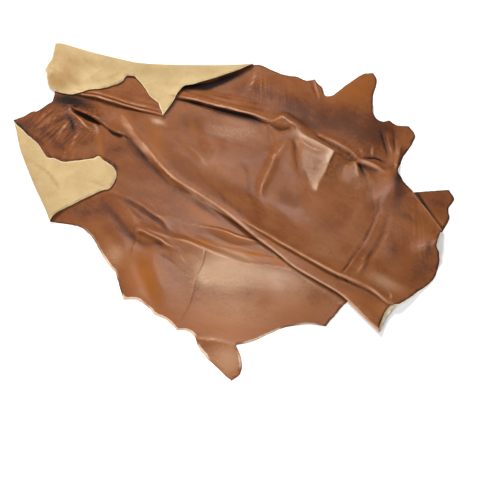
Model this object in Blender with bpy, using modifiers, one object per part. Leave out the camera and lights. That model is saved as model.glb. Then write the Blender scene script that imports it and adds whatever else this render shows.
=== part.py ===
"""A whole tanned cowhide lying spread out on a flat surface, grain side up.

It is one cut sheet. Two of its edges are turned over and show the flesh side, a long pleat runs
across it, and a small pleat tucks in a tab at the right. Metres, +Z up, the origin at the middle
of the laid hide on the surface it lies on, +X along its longer way.

Every table below gives places on the laid hide, seen from above. The sheet is meshed while flat
and unfolded, and lay_hide() then folds it and lays it down.
"""

import math

import bpy
import numpy as np
from mathutils import Vector
from mathutils.geometry import delaunay_2d_cdt

# Driving dimensions.
THICKNESS = 0.0015
BACK_BEND = 0.005        # radius of the hidden bend at the back of a pleat
FLAP_GAP = 0.007         # between a turned-over flap and the sheet under it
FLAP_SETTLE = 0.10       # the way over which a flap sinks from its rolled edge to that gap
CENTRE = (-0.0007, -0.0044)  # middle of the laid hide in the places that the tables give

# Mesh sizes.
EDGE_STEP = 0.036
ROW_STEP = 0.060
FIELD_STEP = 0.055
CLEAR_OF_EDGE = 0.012
CLEAR_OF_ROW = 0.024
FINE_STEP = 0.001        # between points of the cut edge before they are thinned
LEAST_GAP = 0.006
LEAST_BEND = 0.008
RIDGE_STEP = 0.044
CLEAR_OF_RIDGE = 0.019
SLOPE_SHARE = 0.55

# Pleats. The sheet rises to the line, turns down over it and goes on to the right of it, lower.
# Columns: x, y, radius of the crest, straight run after it, turn in degrees, length of the rise.
MAIN_PLEAT = (
    (-0.570, 0.545, 0.020, 0.000, 0, 0.10),
    (-0.500, 0.437, 0.014, 0.006, 40, 0.12),
    (-0.400, 0.284, 0.010, 0.012, 66, 0.14),
    (-0.265, 0.104, 0.009, 0.014, 74, 0.16),
    (-0.160, 0.014, 0.009, 0.014, 84, 0.17),
    (-0.055, -0.078, 0.008, 0.014, 104, 0.18),
    (0.035, -0.168, 0.008, 0.016, 136, 0.18),
    (0.125, -0.258, 0.008, 0.024, 166, 0.18),
    (0.215, -0.333, 0.008, 0.036, 180, 0.19),
    (0.300, -0.416, 0.008, 0.050, 180, 0.20),
    (0.395, -0.483, 0.008, 0.066, 180, 0.21),
    (0.500, -0.558, 0.008, 0.088, 180, 0.22),
    (0.575, -0.646, 0.008, 0.114, 180, 0.22),
    (0.6575, -0.7445, 0.008, 0.146, 180, 0.22),
)
TAB_PLEAT = (
    (1.020, -0.280, 0.006, 0.020, 0, 0.10),
    (0.980, -0.215, 0.006, 0.030, 180, 0.12),
    (0.920, -0.098, 0.006, 0.028, 180, 0.14),
    (0.8675, 0.002, 0.006, 0.022, 180, 0.12),
    (0.855, 0.075, 0.006, 0.010, 0, 0.08),
)

# Turned-over edges. The flap beyond the line, to its right, lies back over the sheet.
# Columns: x, y, radius of the roll, slope at which the flap stands up off the sheet.
TOP_TURN = (
    (0.122, 0.815, 0.006, 0.10),
    (0.068, 0.808, 0.007, 0.22),
    (0.000, 0.803, 0.008, 0.24),
    (-0.100, 0.800, 0.009, 0.20),
    (-0.298, 0.802, 0.010, 0.06),
    (-0.460, 0.814, 0.011, 0.00),
    (-0.580, 0.847, 0.011, 0.00),
    (-0.730, 0.898, 0.010, 0.00),
    (-0.859, 0.950, 0.009, 0.00),
    (-0.904, 0.955, 0.008, 0.00),
)
LEFT_TURN = (
    (-1.058, 0.445, 0.006, 0.03),
    (-1.036, 0.385, 0.007, 0.02),
    (-1.000, 0.262, 0.009, 0.00),
    (-0.952, 0.148, 0.010, 0.00),
    (-0.898, 0.028, 0.010, 0.00),
    (-0.841, -0.086, 0.009, 0.00),
    (-0.808, -0.165, 0.007, 0.00),
)

# The cut edge, once round the hide. Each run names the layer that it belongs to.
OUTLINE = (
    ("upper", ((0.122, 0.815), (0.164, 0.813), (0.218, 0.781), (0.278, 0.748), (0.345, 0.733),
               (0.390, 0.707), (0.438, 0.716))),
    ("upper", ((0.438, 0.716), (0.453, 0.685), (0.471, 0.661), (0.483, 0.601), (0.522, 0.604),
               (0.570, 0.652), (0.630, 0.709), (0.684, 0.751), (0.735, 0.760))),
    ("upper", ((0.735, 0.760), (0.749, 0.703), (0.723, 0.601), (0.715, 0.493), (0.732, 0.448),
               (0.762, 0.430), (0.793, 0.442), (0.828, 0.412), (0.885, 0.406))),
    ("upper", ((0.885, 0.406), (0.909, 0.355), (0.903, 0.319), (0.864, 0.245), (0.845, 0.205),
               (0.815, 0.130), (0.818, 0.070), (0.8675, 0.002))),
    ("tab", ((0.8675, 0.002), (0.950, 0.009), (1.040, 0.020))),
    ("tab", ((1.040, 0.020), (1.058, -0.0375), (1.025, -0.090), (1.022, -0.150), (0.982, -0.217))),
    ("upper", ((0.980, -0.215), (0.9425, -0.303), (0.950, -0.350), (0.9425, -0.410),
               (0.905, -0.487), (0.8375, -0.542), (0.752, -0.607))),
    ("upper", ((0.752, -0.607), (0.7325, -0.610), (0.7025, -0.622), (0.6725, -0.674),
               (0.6565, -0.7380))),
    ("turned", ((0.6640, -0.7370), (0.6875, -0.676), (0.722, -0.630), (0.742, -0.612))),
    ("lower", ((0.733, -0.606), (0.660, -0.560), (0.575, -0.555), (0.515, -0.600), (0.4625, -0.6675),
               (0.4325, -0.708))),
    ("lower", ((0.4325, -0.708), (0.350, -0.6975), (0.260, -0.7125), (0.185, -0.7425),
               (0.125, -0.777), (0.050, -0.798))),
    ("lower", ((0.050, -0.798), (0.0725, -0.870), (0.065, -0.930), (0.030, -0.965))),
    ("lower", ((0.030, -0.965), (-0.040, -0.8925), (-0.100, -0.825), (-0.130, -0.7575),
               (-0.160, -0.7275), (-0.205, -0.7245))),
    ("lower", ((-0.205, -0.7245), (-0.250, -0.675), (-0.3025, -0.648), (-0.3325, -0.615),
               (-0.385, -0.5775), (-0.445, -0.5745))),
    ("lower", ((-0.445, -0.5745), (-0.475, -0.480), (-0.4975, -0.4275), (-0.544, -0.362),
               (-0.586, -0.284), (-0.634, -0.221), (-0.676, -0.191), (-0.730, -0.176),
               (-0.808, -0.165))),
    ("left_flap", ((-0.808, -0.165), (-0.778, -0.120), (-0.730, -0.081), (-0.652, -0.033),
                   (-0.586, 0.007), (-0.550, 0.021), (-0.526, 0.087), (-0.544, 0.147),
                   (-0.598, 0.192), (-0.619, 0.212), (-0.646, 0.198), (-0.703, 0.189),
                   (-0.778, 0.180), (-0.823, 0.201), (-0.868, 0.213), (-0.919, 0.294),
                   (-0.970, 0.339), (-1.042, 0.413), (-1.058, 0.445))),
    ("lower", ((-1.058, 0.445), (-1.006, 0.471), (-0.970, 0.498), (-0.946, 0.504), (-0.901, 0.546),
               (-0.880, 0.567), (-0.874, 0.639))),
    ("lower", ((-0.874, 0.639), (-0.882, 0.740), (-0.890, 0.850), (-0.898, 0.955))),
    ("top_flap", ((-0.904, 0.955), (-0.913, 0.860), (-0.940, 0.782), (-0.931, 0.752),
                  (-0.904, 0.656), (-0.850, 0.620))),
    ("top_flap", ((-0.850, 0.620), (-0.784, 0.608), (-0.700, 0.635), (-0.610, 0.659),
                  (-0.541, 0.695), (-0.520, 0.733), (-0.478, 0.728))),
    ("top_flap", ((-0.478, 0.728), (-0.424, 0.656), (-0.391, 0.596), (-0.346, 0.551),
                  (-0.322, 0.464))),
    ("top_flap", ((-0.322, 0.464), (-0.268, 0.578), (-0.226, 0.660), (-0.178, 0.667),
                  (-0.130, 0.682), (-0.050, 0.712), (0.000, 0.736), (0.062, 0.768),
                  (0.122, 0.813))),
)

# Ridges that lift every layer over them. Each has a smooth line of x, y and height, the width
# of its slope to the left and to the right of that line, how round its crest is, and how far
# the crest leans over sideways.
GROUND_RIDGES = (
    {"line": ((-0.320, 0.600, 0), (-0.250, 0.575, 0.016), (-0.150, 0.546, 0.030), (-0.050, 0.513, 0.036),
              (0.050, 0.478, 0.036), (0.150, 0.445, 0.032), (0.220, 0.430, 0.018), (0.290, 0.400, 0)),
     "left": 0.130, "right": 0.042, "round": 0.10, "lean": (-0.007, -0.022)},
    {"line": ((-0.290, 0.650, 0), (-0.238, 0.628, 0.010), (-0.150, 0.598, 0.014), (-0.040, 0.540, 0)),
     "left": 0.050, "right": 0.035, "round": 0.15, "lean": (0, 0)},
    {"line": ((0.180, 0.450, 0), (0.260, 0.450, 0.016), (0.330, 0.400, 0.028), (0.420, 0.315, 0.032),
              (0.500, 0.232, 0.030), (0.490, 0.150, 0.018), (0.410, 0.005, 0)),
     "left": 0.060, "right": 0.150, "round": 0.06, "lean": (0, 0)},
    {"line": ((-0.800, 0.650, 0), (-0.730, 0.624, 0.013), (-0.610, 0.588, 0.018), (-0.500, 0.552, 0.018),
              (-0.430, 0.537, 0.013), (-0.310, 0.505, 0)),
     "left": 0.060, "right": 0.022, "round": 0.12, "lean": (0, 0)},
    {"line": ((-0.730, 0.612, 0), (-0.620, 0.570, 0.014), (-0.520, 0.537, 0.016), (-0.420, 0.508, 0.013),
              (-0.330, 0.490, 0)),
     "left": 0.022, "right": 0.024, "round": 0.12, "lean": (0, 0)},
    {"line": ((-0.810, 0.560, 0), (-0.784, 0.490, 0.011), (-0.718, 0.422, 0.015), (-0.652, 0.350, 0)),
     "left": 0.060, "right": 0.050, "round": 0.20, "lean": (0, 0)},
    {"line": ((-0.600, 0.020, 0), (-0.500, -0.012, 0.010), (-0.382, -0.086, 0.015), (-0.300, -0.128, 0.012),
              (-0.200, -0.140, 0.008), (-0.090, -0.182, 0)),
     "left": 0.090, "right": 0.030, "round": 0.15, "lean": (0, 0)},
    {"line": ((-0.470, -0.190, 0), (-0.400, -0.198, 0.011), (-0.232, -0.256, 0.015), (-0.100, -0.305, 0.016),
              (0.020, -0.360, 0.013), (0.140, -0.390, 0.008), (0.280, -0.400, 0)),
     "left": 0.060, "right": 0.130, "round": 0.08, "lean": (0, 0)},
    {"line": ((-0.110, -0.185, 0), (-0.050, -0.203, 0.010), (0.050, -0.246, 0.014), (0.130, -0.268, 0.010),
              (0.200, -0.280, 0)),
     "left": 0.028, "right": 0.060, "round": 0.10, "lean": (0, 0)},
    {"line": ((0.285, 0.340, 0), (0.270, 0.272, 0.012), (0.228, 0.200, 0.013), (0.187, 0.126, 0.012),
              (0.158, 0.055, 0.012), (0.146, -0.045, 0)),
     "left": 0.050, "right": 0.060, "round": 0.18, "lean": (0, 0)},
    {"line": ((0.580, 0.230, 0), (0.620, 0.190, 0.014), (0.680, 0.166, 0.020), (0.740, 0.140, 0.016),
              (0.780, 0.080, 0)),
     "left": 0.060, "right": 0.034, "round": 0.12, "lean": (0, 0)},
    {"line": ((-0.150, -0.745, 0), (-0.090, -0.775, 0.013), (0.000, -0.790, 0.014), (0.060, -0.800, 0.010)),
     "left": 0.060, "right": 0.034, "round": 0.12, "lean": (0, 0)},
)
# Ridges of the upper layer alone, behind the main pleat.
UPPER_RIDGES = (
    {"line": ((0.040, -0.115, 0), (0.110, -0.174, 0.008), (0.210, -0.256, 0.017), (0.302, -0.336, 0.022),
              (0.420, -0.410, 0.024), (0.545, -0.490, 0.024), (0.650, -0.562, 0.020), (0.760, -0.625, 0.010)),
     "left": 0.150, "right": 0.034, "round": 0.10, "lean": (-0.006, -0.010)},
)
# Broad swells of the sheet, up or down. Columns: x, y, height, half length, half width, bearing.
SWELLS = (
    (-0.700, 0.500, 0.014, 0.300, 0.160, -30),
    (-0.450, 0.200, 0.010, 0.260, 0.160, -50),
    (-0.100, 0.300, 0.014, 0.280, 0.180, -40),
    (0.250, 0.600, 0.012, 0.260, 0.130, -15),
    (0.640, 0.350, 0.014, 0.220, 0.180, 80),
    (0.350, -0.050, 0.012, 0.300, 0.200, -45),
    (0.750, -0.250, 0.010, 0.220, 0.160, -70),
    (-0.300, -0.420, 0.012, 0.240, 0.140, -40),
    (0.200, -0.550, 0.010, 0.260, 0.120, -10),
)
REST_LEVEL = -0.004      # the plain field before it is pressed flat on the surface
PRESS = 0.004            # how softly the sheet comes down on the surface


def unit(vector):
    return vector / np.hypot(*vector)


def smooth(rows, steps=8):
    """Catmull-Rom curve through a table's rows, every column alike."""
    rows = np.asarray(rows, float)
    ends = np.vstack([2 * rows[0] - rows[1], rows, 2 * rows[-1] - rows[-2]])
    u = np.linspace(0, 1, steps, endpoint=False)[None, :, None]
    a, b, c, d = (ends[i:len(ends) - 3 + i, None, :] for i in range(4))
    curve = 0.5 * (2 * b + (c - a) * u + (2 * a - 5 * b + 4 * c - d) * u ** 2
                   + (3 * b - a - 3 * c + d) * u ** 3)
    return np.vstack([curve.reshape(-1, rows.shape[1]), rows[-1]])


def line_frame(table, swing=0.0):
    """A fold's smooth line as a graph: how far it stands off its chord, along the chord.

    With a swing, the line turns away over its first end, so that it folds nothing there.
    """
    curve = smooth(table)
    start = curve[0, :2]
    along = unit(curve[-1, :2] - start)
    across = np.array([along[1], -along[0]])
    reach = np.maximum.accumulate((curve[:, :2] - start) @ along)
    off = (curve[:, :2] - start) @ across
    if swing:
        curve = np.vstack([curve[0], curve])
        reach = np.append(-0.1 * swing, reach)
        off = np.append(off[0] + swing, off)
    return {"start": start, "along": along, "across": across, "reach": reach, "off": off,
            "columns": curve[:, 2:].T}


def fold_places(fold, points):
    """Places in a fold's frame: s along it, d beyond its line, and the table's columns at s."""
    rel = points - fold["start"]
    s = rel @ fold["along"]
    d = rel @ fold["across"] - np.interp(s, fold["reach"], fold["off"])
    columns = [np.interp(s, fold["reach"], column) for column in fold["columns"]]
    return s, d, columns


def pleat_measures(columns):
    """Radius, run and turn of a pleat, and the length of the rise behind it."""
    radius, run, turn, rise = columns
    return radius, np.maximum(run, 0), np.radians(np.clip(turn, 0, 180)), rise


def pleat_drop(radius, run, turn):
    return (radius + BACK_BEND) * (1 - np.cos(turn)) + run * np.sin(turn)


def pleat_hidden(radius, run, turn):
    """Length of sheet that a pleat takes up."""
    return (radius + BACK_BEND) * (turn - np.sin(turn)) + run * (1 - np.cos(turn))


def lay_pleat(fold, points):
    """Places after the pleat, their lift, and how far each lies on the pleat's upper side."""
    s, d, columns = fold_places(fold, points)
    radius, run, turn, rise = pleat_measures(columns)
    top = pleat_drop(radius, run, turn)
    way = d + radius
    first = np.clip(way, 0, radius * turn)
    straight = np.clip(way - radius * turn, 0, run)
    second = np.clip(way - radius * turn - run, 0, BACK_BEND * turn)
    rest = np.maximum(way - (radius + BACK_BEND) * turn - run, 0)
    one = first / radius
    two = turn - second / BACK_BEND
    across = (radius * np.sin(one) + straight * np.cos(turn)
              + BACK_BEND * (np.sin(turn) - np.sin(two)) + rest)
    drop = (radius * (1 - np.cos(one)) + straight * np.sin(turn)
            + BACK_BEND * (np.cos(two) - np.cos(turn)))
    beyond = way > 0
    place = np.where(beyond, across - radius, d)
    stack = np.maximum(-run * np.cos(turn), 0) + BACK_BEND
    behind = np.clip((-way - stack) / rise, 0, 1)
    lift = np.where(beyond, top - drop, top * (1 - behind ** 2 * (3 - 2 * behind)))
    upper = np.where(beyond, 0, np.clip(-way / 0.03, 0, 1))
    return points + (place - d)[:, None] * fold["across"], lift, upper ** 2 * (3 - 2 * upper)


def lay_turn(fold, points):
    """Places after an edge is turned over, and their lift."""
    s, d, (radius, stand) = fold_places(fold, points)
    way = np.maximum(d + radius, 0)
    angle = np.minimum(way / radius, math.pi)
    back = np.maximum(way - math.pi * radius, 0)
    place = np.where(way > 0, radius * np.sin(angle) - radius - back, d)
    settle = np.clip(back / FLAP_SETTLE, 0, 1)
    settle = settle ** 2 * (3 - 2 * settle)
    lift = radius * (1 - np.cos(angle)) - settle * (2 * radius - FLAP_GAP) + stand * back
    return points + (place - d)[:, None] * fold["across"], lift


def unlay_pleat(fold, points):
    """From a place on the lower side of a pleat to the flat sheet."""
    _, _, columns = fold_places(fold, points)
    hidden = pleat_hidden(*pleat_measures(columns)[:3])
    return points + hidden[:, None] * fold["across"]


def unlay_turned(fold, points):
    """From a place on a layer that lies back under or over its fold to the flat sheet."""
    _, d, columns = fold_places(fold, points)
    return points + ((math.pi - 2) * columns[0] - 2 * d)[:, None] * fold["across"]


MAIN = line_frame(MAIN_PLEAT)
TAB = line_frame(TAB_PLEAT)
TOP = line_frame(TOP_TURN, swing=0.2)
LEFT_ROWS = np.asarray(LEFT_TURN)
LEFT_ROWS[:, :2] = unlay_pleat(MAIN, LEFT_ROWS[:, :2])
LEFT = line_frame(LEFT_ROWS)

UNLAY = {
    "upper": lambda p: p,
    "tab": lambda p: unlay_pleat(TAB, p),
    "turned": lambda p: unlay_turned(MAIN, p),
    "lower": lambda p: unlay_pleat(MAIN, p),
    "top_flap": lambda p: unlay_turned(TOP, p),
    "left_flap": lambda p: unlay_turned(LEFT, unlay_pleat(MAIN, p)),
}


def ridge_rise(ridge, points):
    """Height of a ridge over each point, from its crest line's nearest place."""
    line = smooth(ridge["line"], 6)
    height = np.zeros(len(points))
    share = np.zeros(len(points))
    widest = max(ridge["left"], ridge["right"])
    low = line[:, :2].min(axis=0) - widest
    high = line[:, :2].max(axis=0) + widest
    near = np.flatnonzero(((points > low) & (points < high)).all(axis=1))
    if not len(near):
        return height, share
    start, way = line[:-1, :2], np.diff(line[:, :2], axis=0)
    rel = points[near, None, :] - start
    t = np.clip((rel * way).sum(axis=2) / (way ** 2).sum(axis=1), 0, 1)
    off = rel - t[:, :, None] * way
    far = np.hypot(off[:, :, 0], off[:, :, 1])
    best = far.argmin(axis=1)
    row = np.arange(len(near))
    side = way[best, 0] * off[row, best, 1] - way[best, 1] * off[row, best, 0]
    x = far[row, best] / np.where(side > 0, ridge["left"], ridge["right"])
    soft = ridge["round"]
    x = (np.sqrt(x ** 2 + soft ** 2) - soft) / (math.sqrt(1 + soft ** 2) - soft)
    crest = line[best, 2] + t[row, best] * (line[best + 1, 2] - line[best, 2])
    shape = np.clip(1 - x, 0, 1) ** 2
    height[near] = np.maximum(crest, 0) * shape
    share[near] = np.maximum(crest, 0) / line[:, 2].max() * shape
    return height, share


def swell_rise(points):
    rise = np.full(len(points), REST_LEVEL)
    for x, y, height, length, width, bearing in SWELLS:
        turn = math.radians(bearing)
        rel = points - (x, y)
        u = (rel[:, 0] * math.cos(turn) + rel[:, 1] * math.sin(turn)) / length
        v = (rel[:, 1] * math.cos(turn) - rel[:, 0] * math.sin(turn)) / width
        rise += height * np.exp(-1.5 * (u ** 2 + v ** 2))
    return rise


def press_down(height):
    """Nothing goes below the surface, and what comes near it lies flat on it."""
    soft = height ** 2 / (4 * PRESS)
    return np.where(height <= 0, 0, np.where(height < 2 * PRESS, soft, height - PRESS))


def lay_hide(flat):
    """The folded and laid place of each point of the flat, unfolded sheet's grain side."""
    points, lift_top = lay_turn(TOP, flat)
    points, lift_left = lay_turn(LEFT, points)
    points, lift_main, upper = lay_pleat(MAIN, points)
    points, lift_tab, _ = lay_pleat(TAB, points)
    lift = lift_top + lift_left + lift_main + lift_tab
    rise = swell_rise(points)
    shift = np.zeros_like(points)
    for ridge in GROUND_RIDGES:
        height, share = ridge_rise(ridge, points)
        rise += height
        shift += share[:, None] * ridge["lean"]
    rise = press_down(rise)
    for ridge in UPPER_RIDGES:
        height, share = ridge_rise(ridge, points)
        rise += upper * height
        shift += (upper * share)[:, None] * ridge["lean"]
    place = points + shift - CENTRE
    return np.column_stack([place, rise + lift + THICKNESS])


def fine_outline():
    """The cut edge of the flat, unfolded hide as a fine closed line, and where its runs begin."""
    runs = [UNLAY[layer](smooth(rows, 12)) for layer, rows in OUTLINE]
    parts = []
    for run, following in zip(runs, runs[1:] + runs[:1]):
        for curve in (run, np.vstack([run[-1], following[0]])):
            length = np.concatenate([[0], np.cumsum(np.hypot(*np.diff(curve, axis=0).T))])
            even = np.arange(0, length[-1], FINE_STEP)
            parts.append(np.column_stack([np.interp(even, length, c) for c in curve.T]))
    parts = [part for part in parts if len(part) > 1]
    starts = np.cumsum([0] + [len(part) for part in parts[:-1]])
    return np.vstack(parts), starts


def pleat_rows():
    """Distances beyond a pleat's line at which it is cut into strips, as functions of s."""
    def row(bend, share):
        def distance(columns):
            radius, run, turn, _ = pleat_measures(columns)
            ways = {"crest": share * radius * turn, "run": radius * turn + share * run,
                    "back": radius * turn + run + share * BACK_BEND * turn}
            return ways[bend] - radius
        return distance
    crest = [row("crest", k / 5) for k in range(6)]
    back = [row("back", k / 4) for k in range(5)]
    return crest + back


def turn_rows():
    def row(share):
        return lambda columns: share * math.pi * columns[0] - columns[0]
    return [row(k / 6) for k in range(7)]


def inside(outline, points):
    """True where a point lies inside the closed line, by counting the edges it looks across."""
    a, b = outline, np.roll(outline, -1, axis=0)
    x, y = points[:, 0, None], points[:, 1, None]
    spans = (a[:, 1] > y) != (b[:, 1] > y)
    rise = np.where(b[:, 1] == a[:, 1], 1, b[:, 1] - a[:, 1])
    cross = a[:, 0] + (y - a[:, 1]) * (b[:, 0] - a[:, 0]) / rise
    return (spans & (x < cross)).sum(axis=1) % 2 == 1


def nearest(points, others):
    return np.sqrt(((points[:, None, :] - others) ** 2).sum(axis=2).min(axis=1))


def edge_points(rows):
    """Points round the flat cut edge: even steps, every corner, and wherever it crosses a row."""
    outline, corners = fine_outline()
    keep = np.zeros(len(outline), bool)
    keep[corners] = True
    keep[::round(EDGE_STEP / FINE_STEP)] = True
    crossings = []
    for fold, distance in rows:
        s, d, columns = fold_places(fold, outline)
        side = d > distance(columns)
        near = (s > -LEAST_GAP) & (s < fold["reach"][-1] + LEAST_GAP)
        crossed = np.flatnonzero((side != np.roll(side, -1)) & near)
        keep[crossed] = True
        crossings.append(crossed)
    kept = np.flatnonzero(keep)
    close = np.diff(np.append(kept, kept[0] + len(outline))) < LEAST_GAP / FINE_STEP
    wanted = np.isin(kept, np.concatenate(crossings + [corners]))
    kept = kept[~close | wanted]
    number = np.full(len(outline), -1)
    number[kept] = np.arange(len(kept))
    return outline[kept], [number[crossed] for crossed in crossings]


def row_points(fold, distance):
    """Points along one row beside a fold's line, where the fold is wide enough to need it."""
    count = round(fold["reach"][-1] / ROW_STEP)
    s = np.linspace(0, fold["reach"][-1], count + 1)
    columns = [np.interp(s, fold["reach"], column) for column in fold["columns"]]
    off = np.interp(s, fold["reach"], fold["off"]) + distance(columns)
    points = fold["start"] + s[:, None] * fold["along"] + off[:, None] * fold["across"]
    if len(columns) == 4:
        points = points[columns[0] * np.radians(columns[2]) > LEAST_BEND]
    return points


def link_row(fold, points, first, crossed, edge, outline):
    """Links along a row, in order of s, wherever the sheet is whole between two of its points."""
    everyone = np.vstack([points, edge[crossed]])
    number = np.concatenate([first + np.arange(len(points)), crossed])
    order = np.argsort((everyone - fold["start"]) @ fold["along"])
    everyone, number = everyone[order], number[order]
    middle = (everyone[1:] + everyone[:-1]) / 2
    whole = inside(outline, middle) & (np.hypot(*np.diff(everyone, axis=0).T) < 2 * ROW_STEP)
    return np.column_stack([number[:-1], number[1:]])[whole]


def ridge_lines(ridge):
    """Lines along a ridge's crest and its two slopes, on the flat sheet."""
    curve = smooth(ridge["line"], 6)[:, :2]
    length = np.concatenate([[0], np.cumsum(np.hypot(*np.diff(curve, axis=0).T))])
    even = np.linspace(0, length[-1], max(3, round(length[-1] / RIDGE_STEP)))
    crest = np.column_stack([np.interp(even, length, c) for c in curve.T])
    way = np.gradient(crest, axis=0)
    left = np.column_stack([-way[:, 1], way[:, 0]]) / np.hypot(*way.T)[:, None]
    for off in (0, SLOPE_SHARE * ridge["left"], -SLOPE_SHARE * ridge["right"]):
        line = crest + off * left
        _, d, _ = fold_places(MAIN, line)
        yield np.where(d[:, None] > 0, unlay_pleat(MAIN, line), line)


def field_points():
    """An even triangular field over the whole flat hide."""
    x = np.arange(-1.40, 1.30, FIELD_STEP)
    y = np.arange(-1.30, 1.30, FIELD_STEP * math.sqrt(3) / 2)
    grid = np.stack(np.meshgrid(x, y), axis=-1)
    grid[1::2, :, 0] += FIELD_STEP / 2
    return grid.reshape(-1, 2)


def flat_mesh():
    """Points and triangles of the flat, unfolded sheet."""
    outline, _ = fine_outline()
    outline = outline[::5]
    rows = [(fold, row) for fold in (MAIN, TAB) for row in pleat_rows()]
    rows += [(fold, row) for fold in (TOP, LEFT) for row in turn_rows()]
    edge, crossings = edge_points(rows)
    count = len(edge)
    links = [np.column_stack([np.arange(count), np.roll(np.arange(count), -1)])]
    points = [edge]
    for (fold, distance), crossed in zip(rows, crossings):
        line = row_points(fold, distance)
        line = line[inside(outline, line) & (nearest(line, edge) > CLEAR_OF_EDGE)]
        links.append(link_row(fold, line, count, crossed, edge, outline))
        points.append(line)
        count += len(line)
    for ridge in GROUND_RIDGES + UPPER_RIDGES:
        for line in ridge_lines(ridge):
            clear = inside(outline, line) & (nearest(line, np.vstack(points)) > CLEAR_OF_RIDGE)
            points.append(line[clear])
            joined = np.flatnonzero((clear[1:] & clear[:-1])[clear[:-1]])
            links.append(count + np.column_stack([joined, joined + 1]))
            count += clear.sum()
    field = field_points()
    field = field[inside(outline, field)]
    points.append(field[nearest(field, np.vstack(points)) > CLEAR_OF_ROW])
    points = np.vstack(points)
    cut = delaunay_2d_cdt([Vector(p) for p in points], np.vstack(links).tolist(), [], 1, 1e-6)
    return np.array(cut[0]), [tuple(face) for face in cut[2]]


def leather(name, colour, roughness):
    material = bpy.data.materials.new(name)
    material.use_nodes = True
    shader = material.node_tree.nodes["Principled BSDF"]
    shader.inputs["Base Color"].default_value = (*colour, 1)
    shader.inputs["Roughness"].default_value = roughness
    shader.inputs["Metallic"].default_value = 0
    material.diffuse_color = (*colour, 1)
    return material


def make_hide(collection):
    points, faces = flat_mesh()
    mesh = bpy.data.meshes.new("hide")
    mesh.from_pydata(lay_hide(points).tolist(), [], faces)
    mesh.materials.append(leather("grain side", (0.36, 0.13, 0.055), 0.45))
    mesh.materials.append(leather("flesh side", (0.62, 0.43, 0.24), 0.85))
    mesh.shade_smooth()
    hide = bpy.data.objects.new("hide", mesh)
    collection.objects.link(hide)
    wall = hide.modifiers.new("thickness", "SOLIDIFY")
    wall.thickness = THICKNESS
    wall.offset = -1
    wall.material_offset = 1
    wall.material_offset_rim = 1
    return hide


def main():
    for old in list(bpy.data.objects):
        bpy.data.objects.remove(old, do_unlink=True)
    collection = bpy.data.collections.new("leather hide")
    bpy.context.scene.collection.children.link(collection)
    make_hide(collection)


main()
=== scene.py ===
import math

import bpy
import numpy as np
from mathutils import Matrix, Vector
from mathutils.geometry import delaunay_2d_cdt


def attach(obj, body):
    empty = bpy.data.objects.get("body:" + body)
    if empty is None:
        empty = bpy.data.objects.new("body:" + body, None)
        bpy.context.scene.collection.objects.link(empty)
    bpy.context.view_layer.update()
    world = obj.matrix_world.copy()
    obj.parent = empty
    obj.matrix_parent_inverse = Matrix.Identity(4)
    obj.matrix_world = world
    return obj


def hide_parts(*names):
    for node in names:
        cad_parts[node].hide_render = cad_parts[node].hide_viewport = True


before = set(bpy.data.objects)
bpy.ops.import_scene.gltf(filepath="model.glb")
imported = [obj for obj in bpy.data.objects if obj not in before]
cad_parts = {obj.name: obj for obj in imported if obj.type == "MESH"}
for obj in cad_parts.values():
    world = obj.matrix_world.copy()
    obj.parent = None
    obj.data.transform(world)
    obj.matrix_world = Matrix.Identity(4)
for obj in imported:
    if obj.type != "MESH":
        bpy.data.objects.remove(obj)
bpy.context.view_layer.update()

# The hide: a whole cowhide, one cut sheet, lying grain side up. It is meshed flat and unfolded, then
# folded and laid down. The tables give places seen from above on the laid hide, in millimetres; the
# values here are in metres.
hide = {
    "thickness": 0.0015,
    "centre": (-0.0007, -0.0044),  # middle of the laid hide in the tables' own places
    "backBend": 0.0038,            # radius of the hidden bend at the back of a pleat
    "crestEase": 0.03,             # the way over which a pleat's own folds fade in behind its crest
    "pleatToneTurn": 0.8,               # the turn, in radians, at which a pleat's crest takes its full tones of wear, painted light and painted shade
    "tabToneShare": 0.5,                # how strongly the tab's crest takes those tones beside the main pleat's
    "flapGap": 0.0045,             # from a turned-over flap down to the sheet under it
    "flapSettle": 0.09,            # the way over which a flap sinks from its roll to that gap
    "flapEase": 0.02,              # the way over which a flap's own creases fade in
    "flapSwing": 0.2,              # how far the top turn's line turns away before its first end
    "restLevel": 0.001,            # the plain sheet before it is pressed flat on the surface
    "press": 0.004,                # how softly it comes down there
    "finePress": 0.001,            # and how softly its fine creases do
    "waves": ((0.30, 0.0060), (0.13, 0.0030), (0.055, 0.0009)),  # uneven swells: size and height
    "wander": (0.070, 0.0050),     # how far the creases stray from their lines: size and way
    "uneven": 0.45,                # how unevenly deep and worn they are along the way
    "creaseTone": 0.5,             # how much paler a fine crease's ridge is, worn and a painted highlight, and darker its trough, a painted shade
    "rounding": 0.003,             # how far a fold's corners are rounded off
    "lineMarkWidth": 0.0055,           # half the width of the pale line along a crest, or of the painted shade along a trough
    "facetFall": 0.8,              # power of the ease beyond a facet's sides
    "facetRim": 0.012,             # the way over which its paler look ends
    "fullCrest": 12,               # a bend of this many per metre looks like a full crest
    "edgeLift": 0.0022,            # how far the cut edge curls up
    "edgeCurl": 0.016,             # and over what width
    "curlSize": 0.11,              # length of the uneven stretches that curl up
    "edgeWander": ((0.075, 0.0022), (0.024, 0.0016), (0.010, 0.0008)),  # ragged cut: size and depth
    "edgeStep": 0.005,             # between the mesh's points along the cut
    "edgeReach": 0.1,              # beyond this way from the cut the leather takes no notice of it
    "broadStep": 0.0140,           # between the mesh's points where the sheet is plain
    "bendLimits": (0.00040, 0.00034),  # a sharper bend than this halves the step, and halves it again
    "fieldSpan": 2.8,              # half the width of the field that the flat hide is cut from
}
# What each random draw starts from
seeds = {"waves": 5, "cut": 20, "curl": 40, "wander": (60, 61), "uneven": 62}

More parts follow.
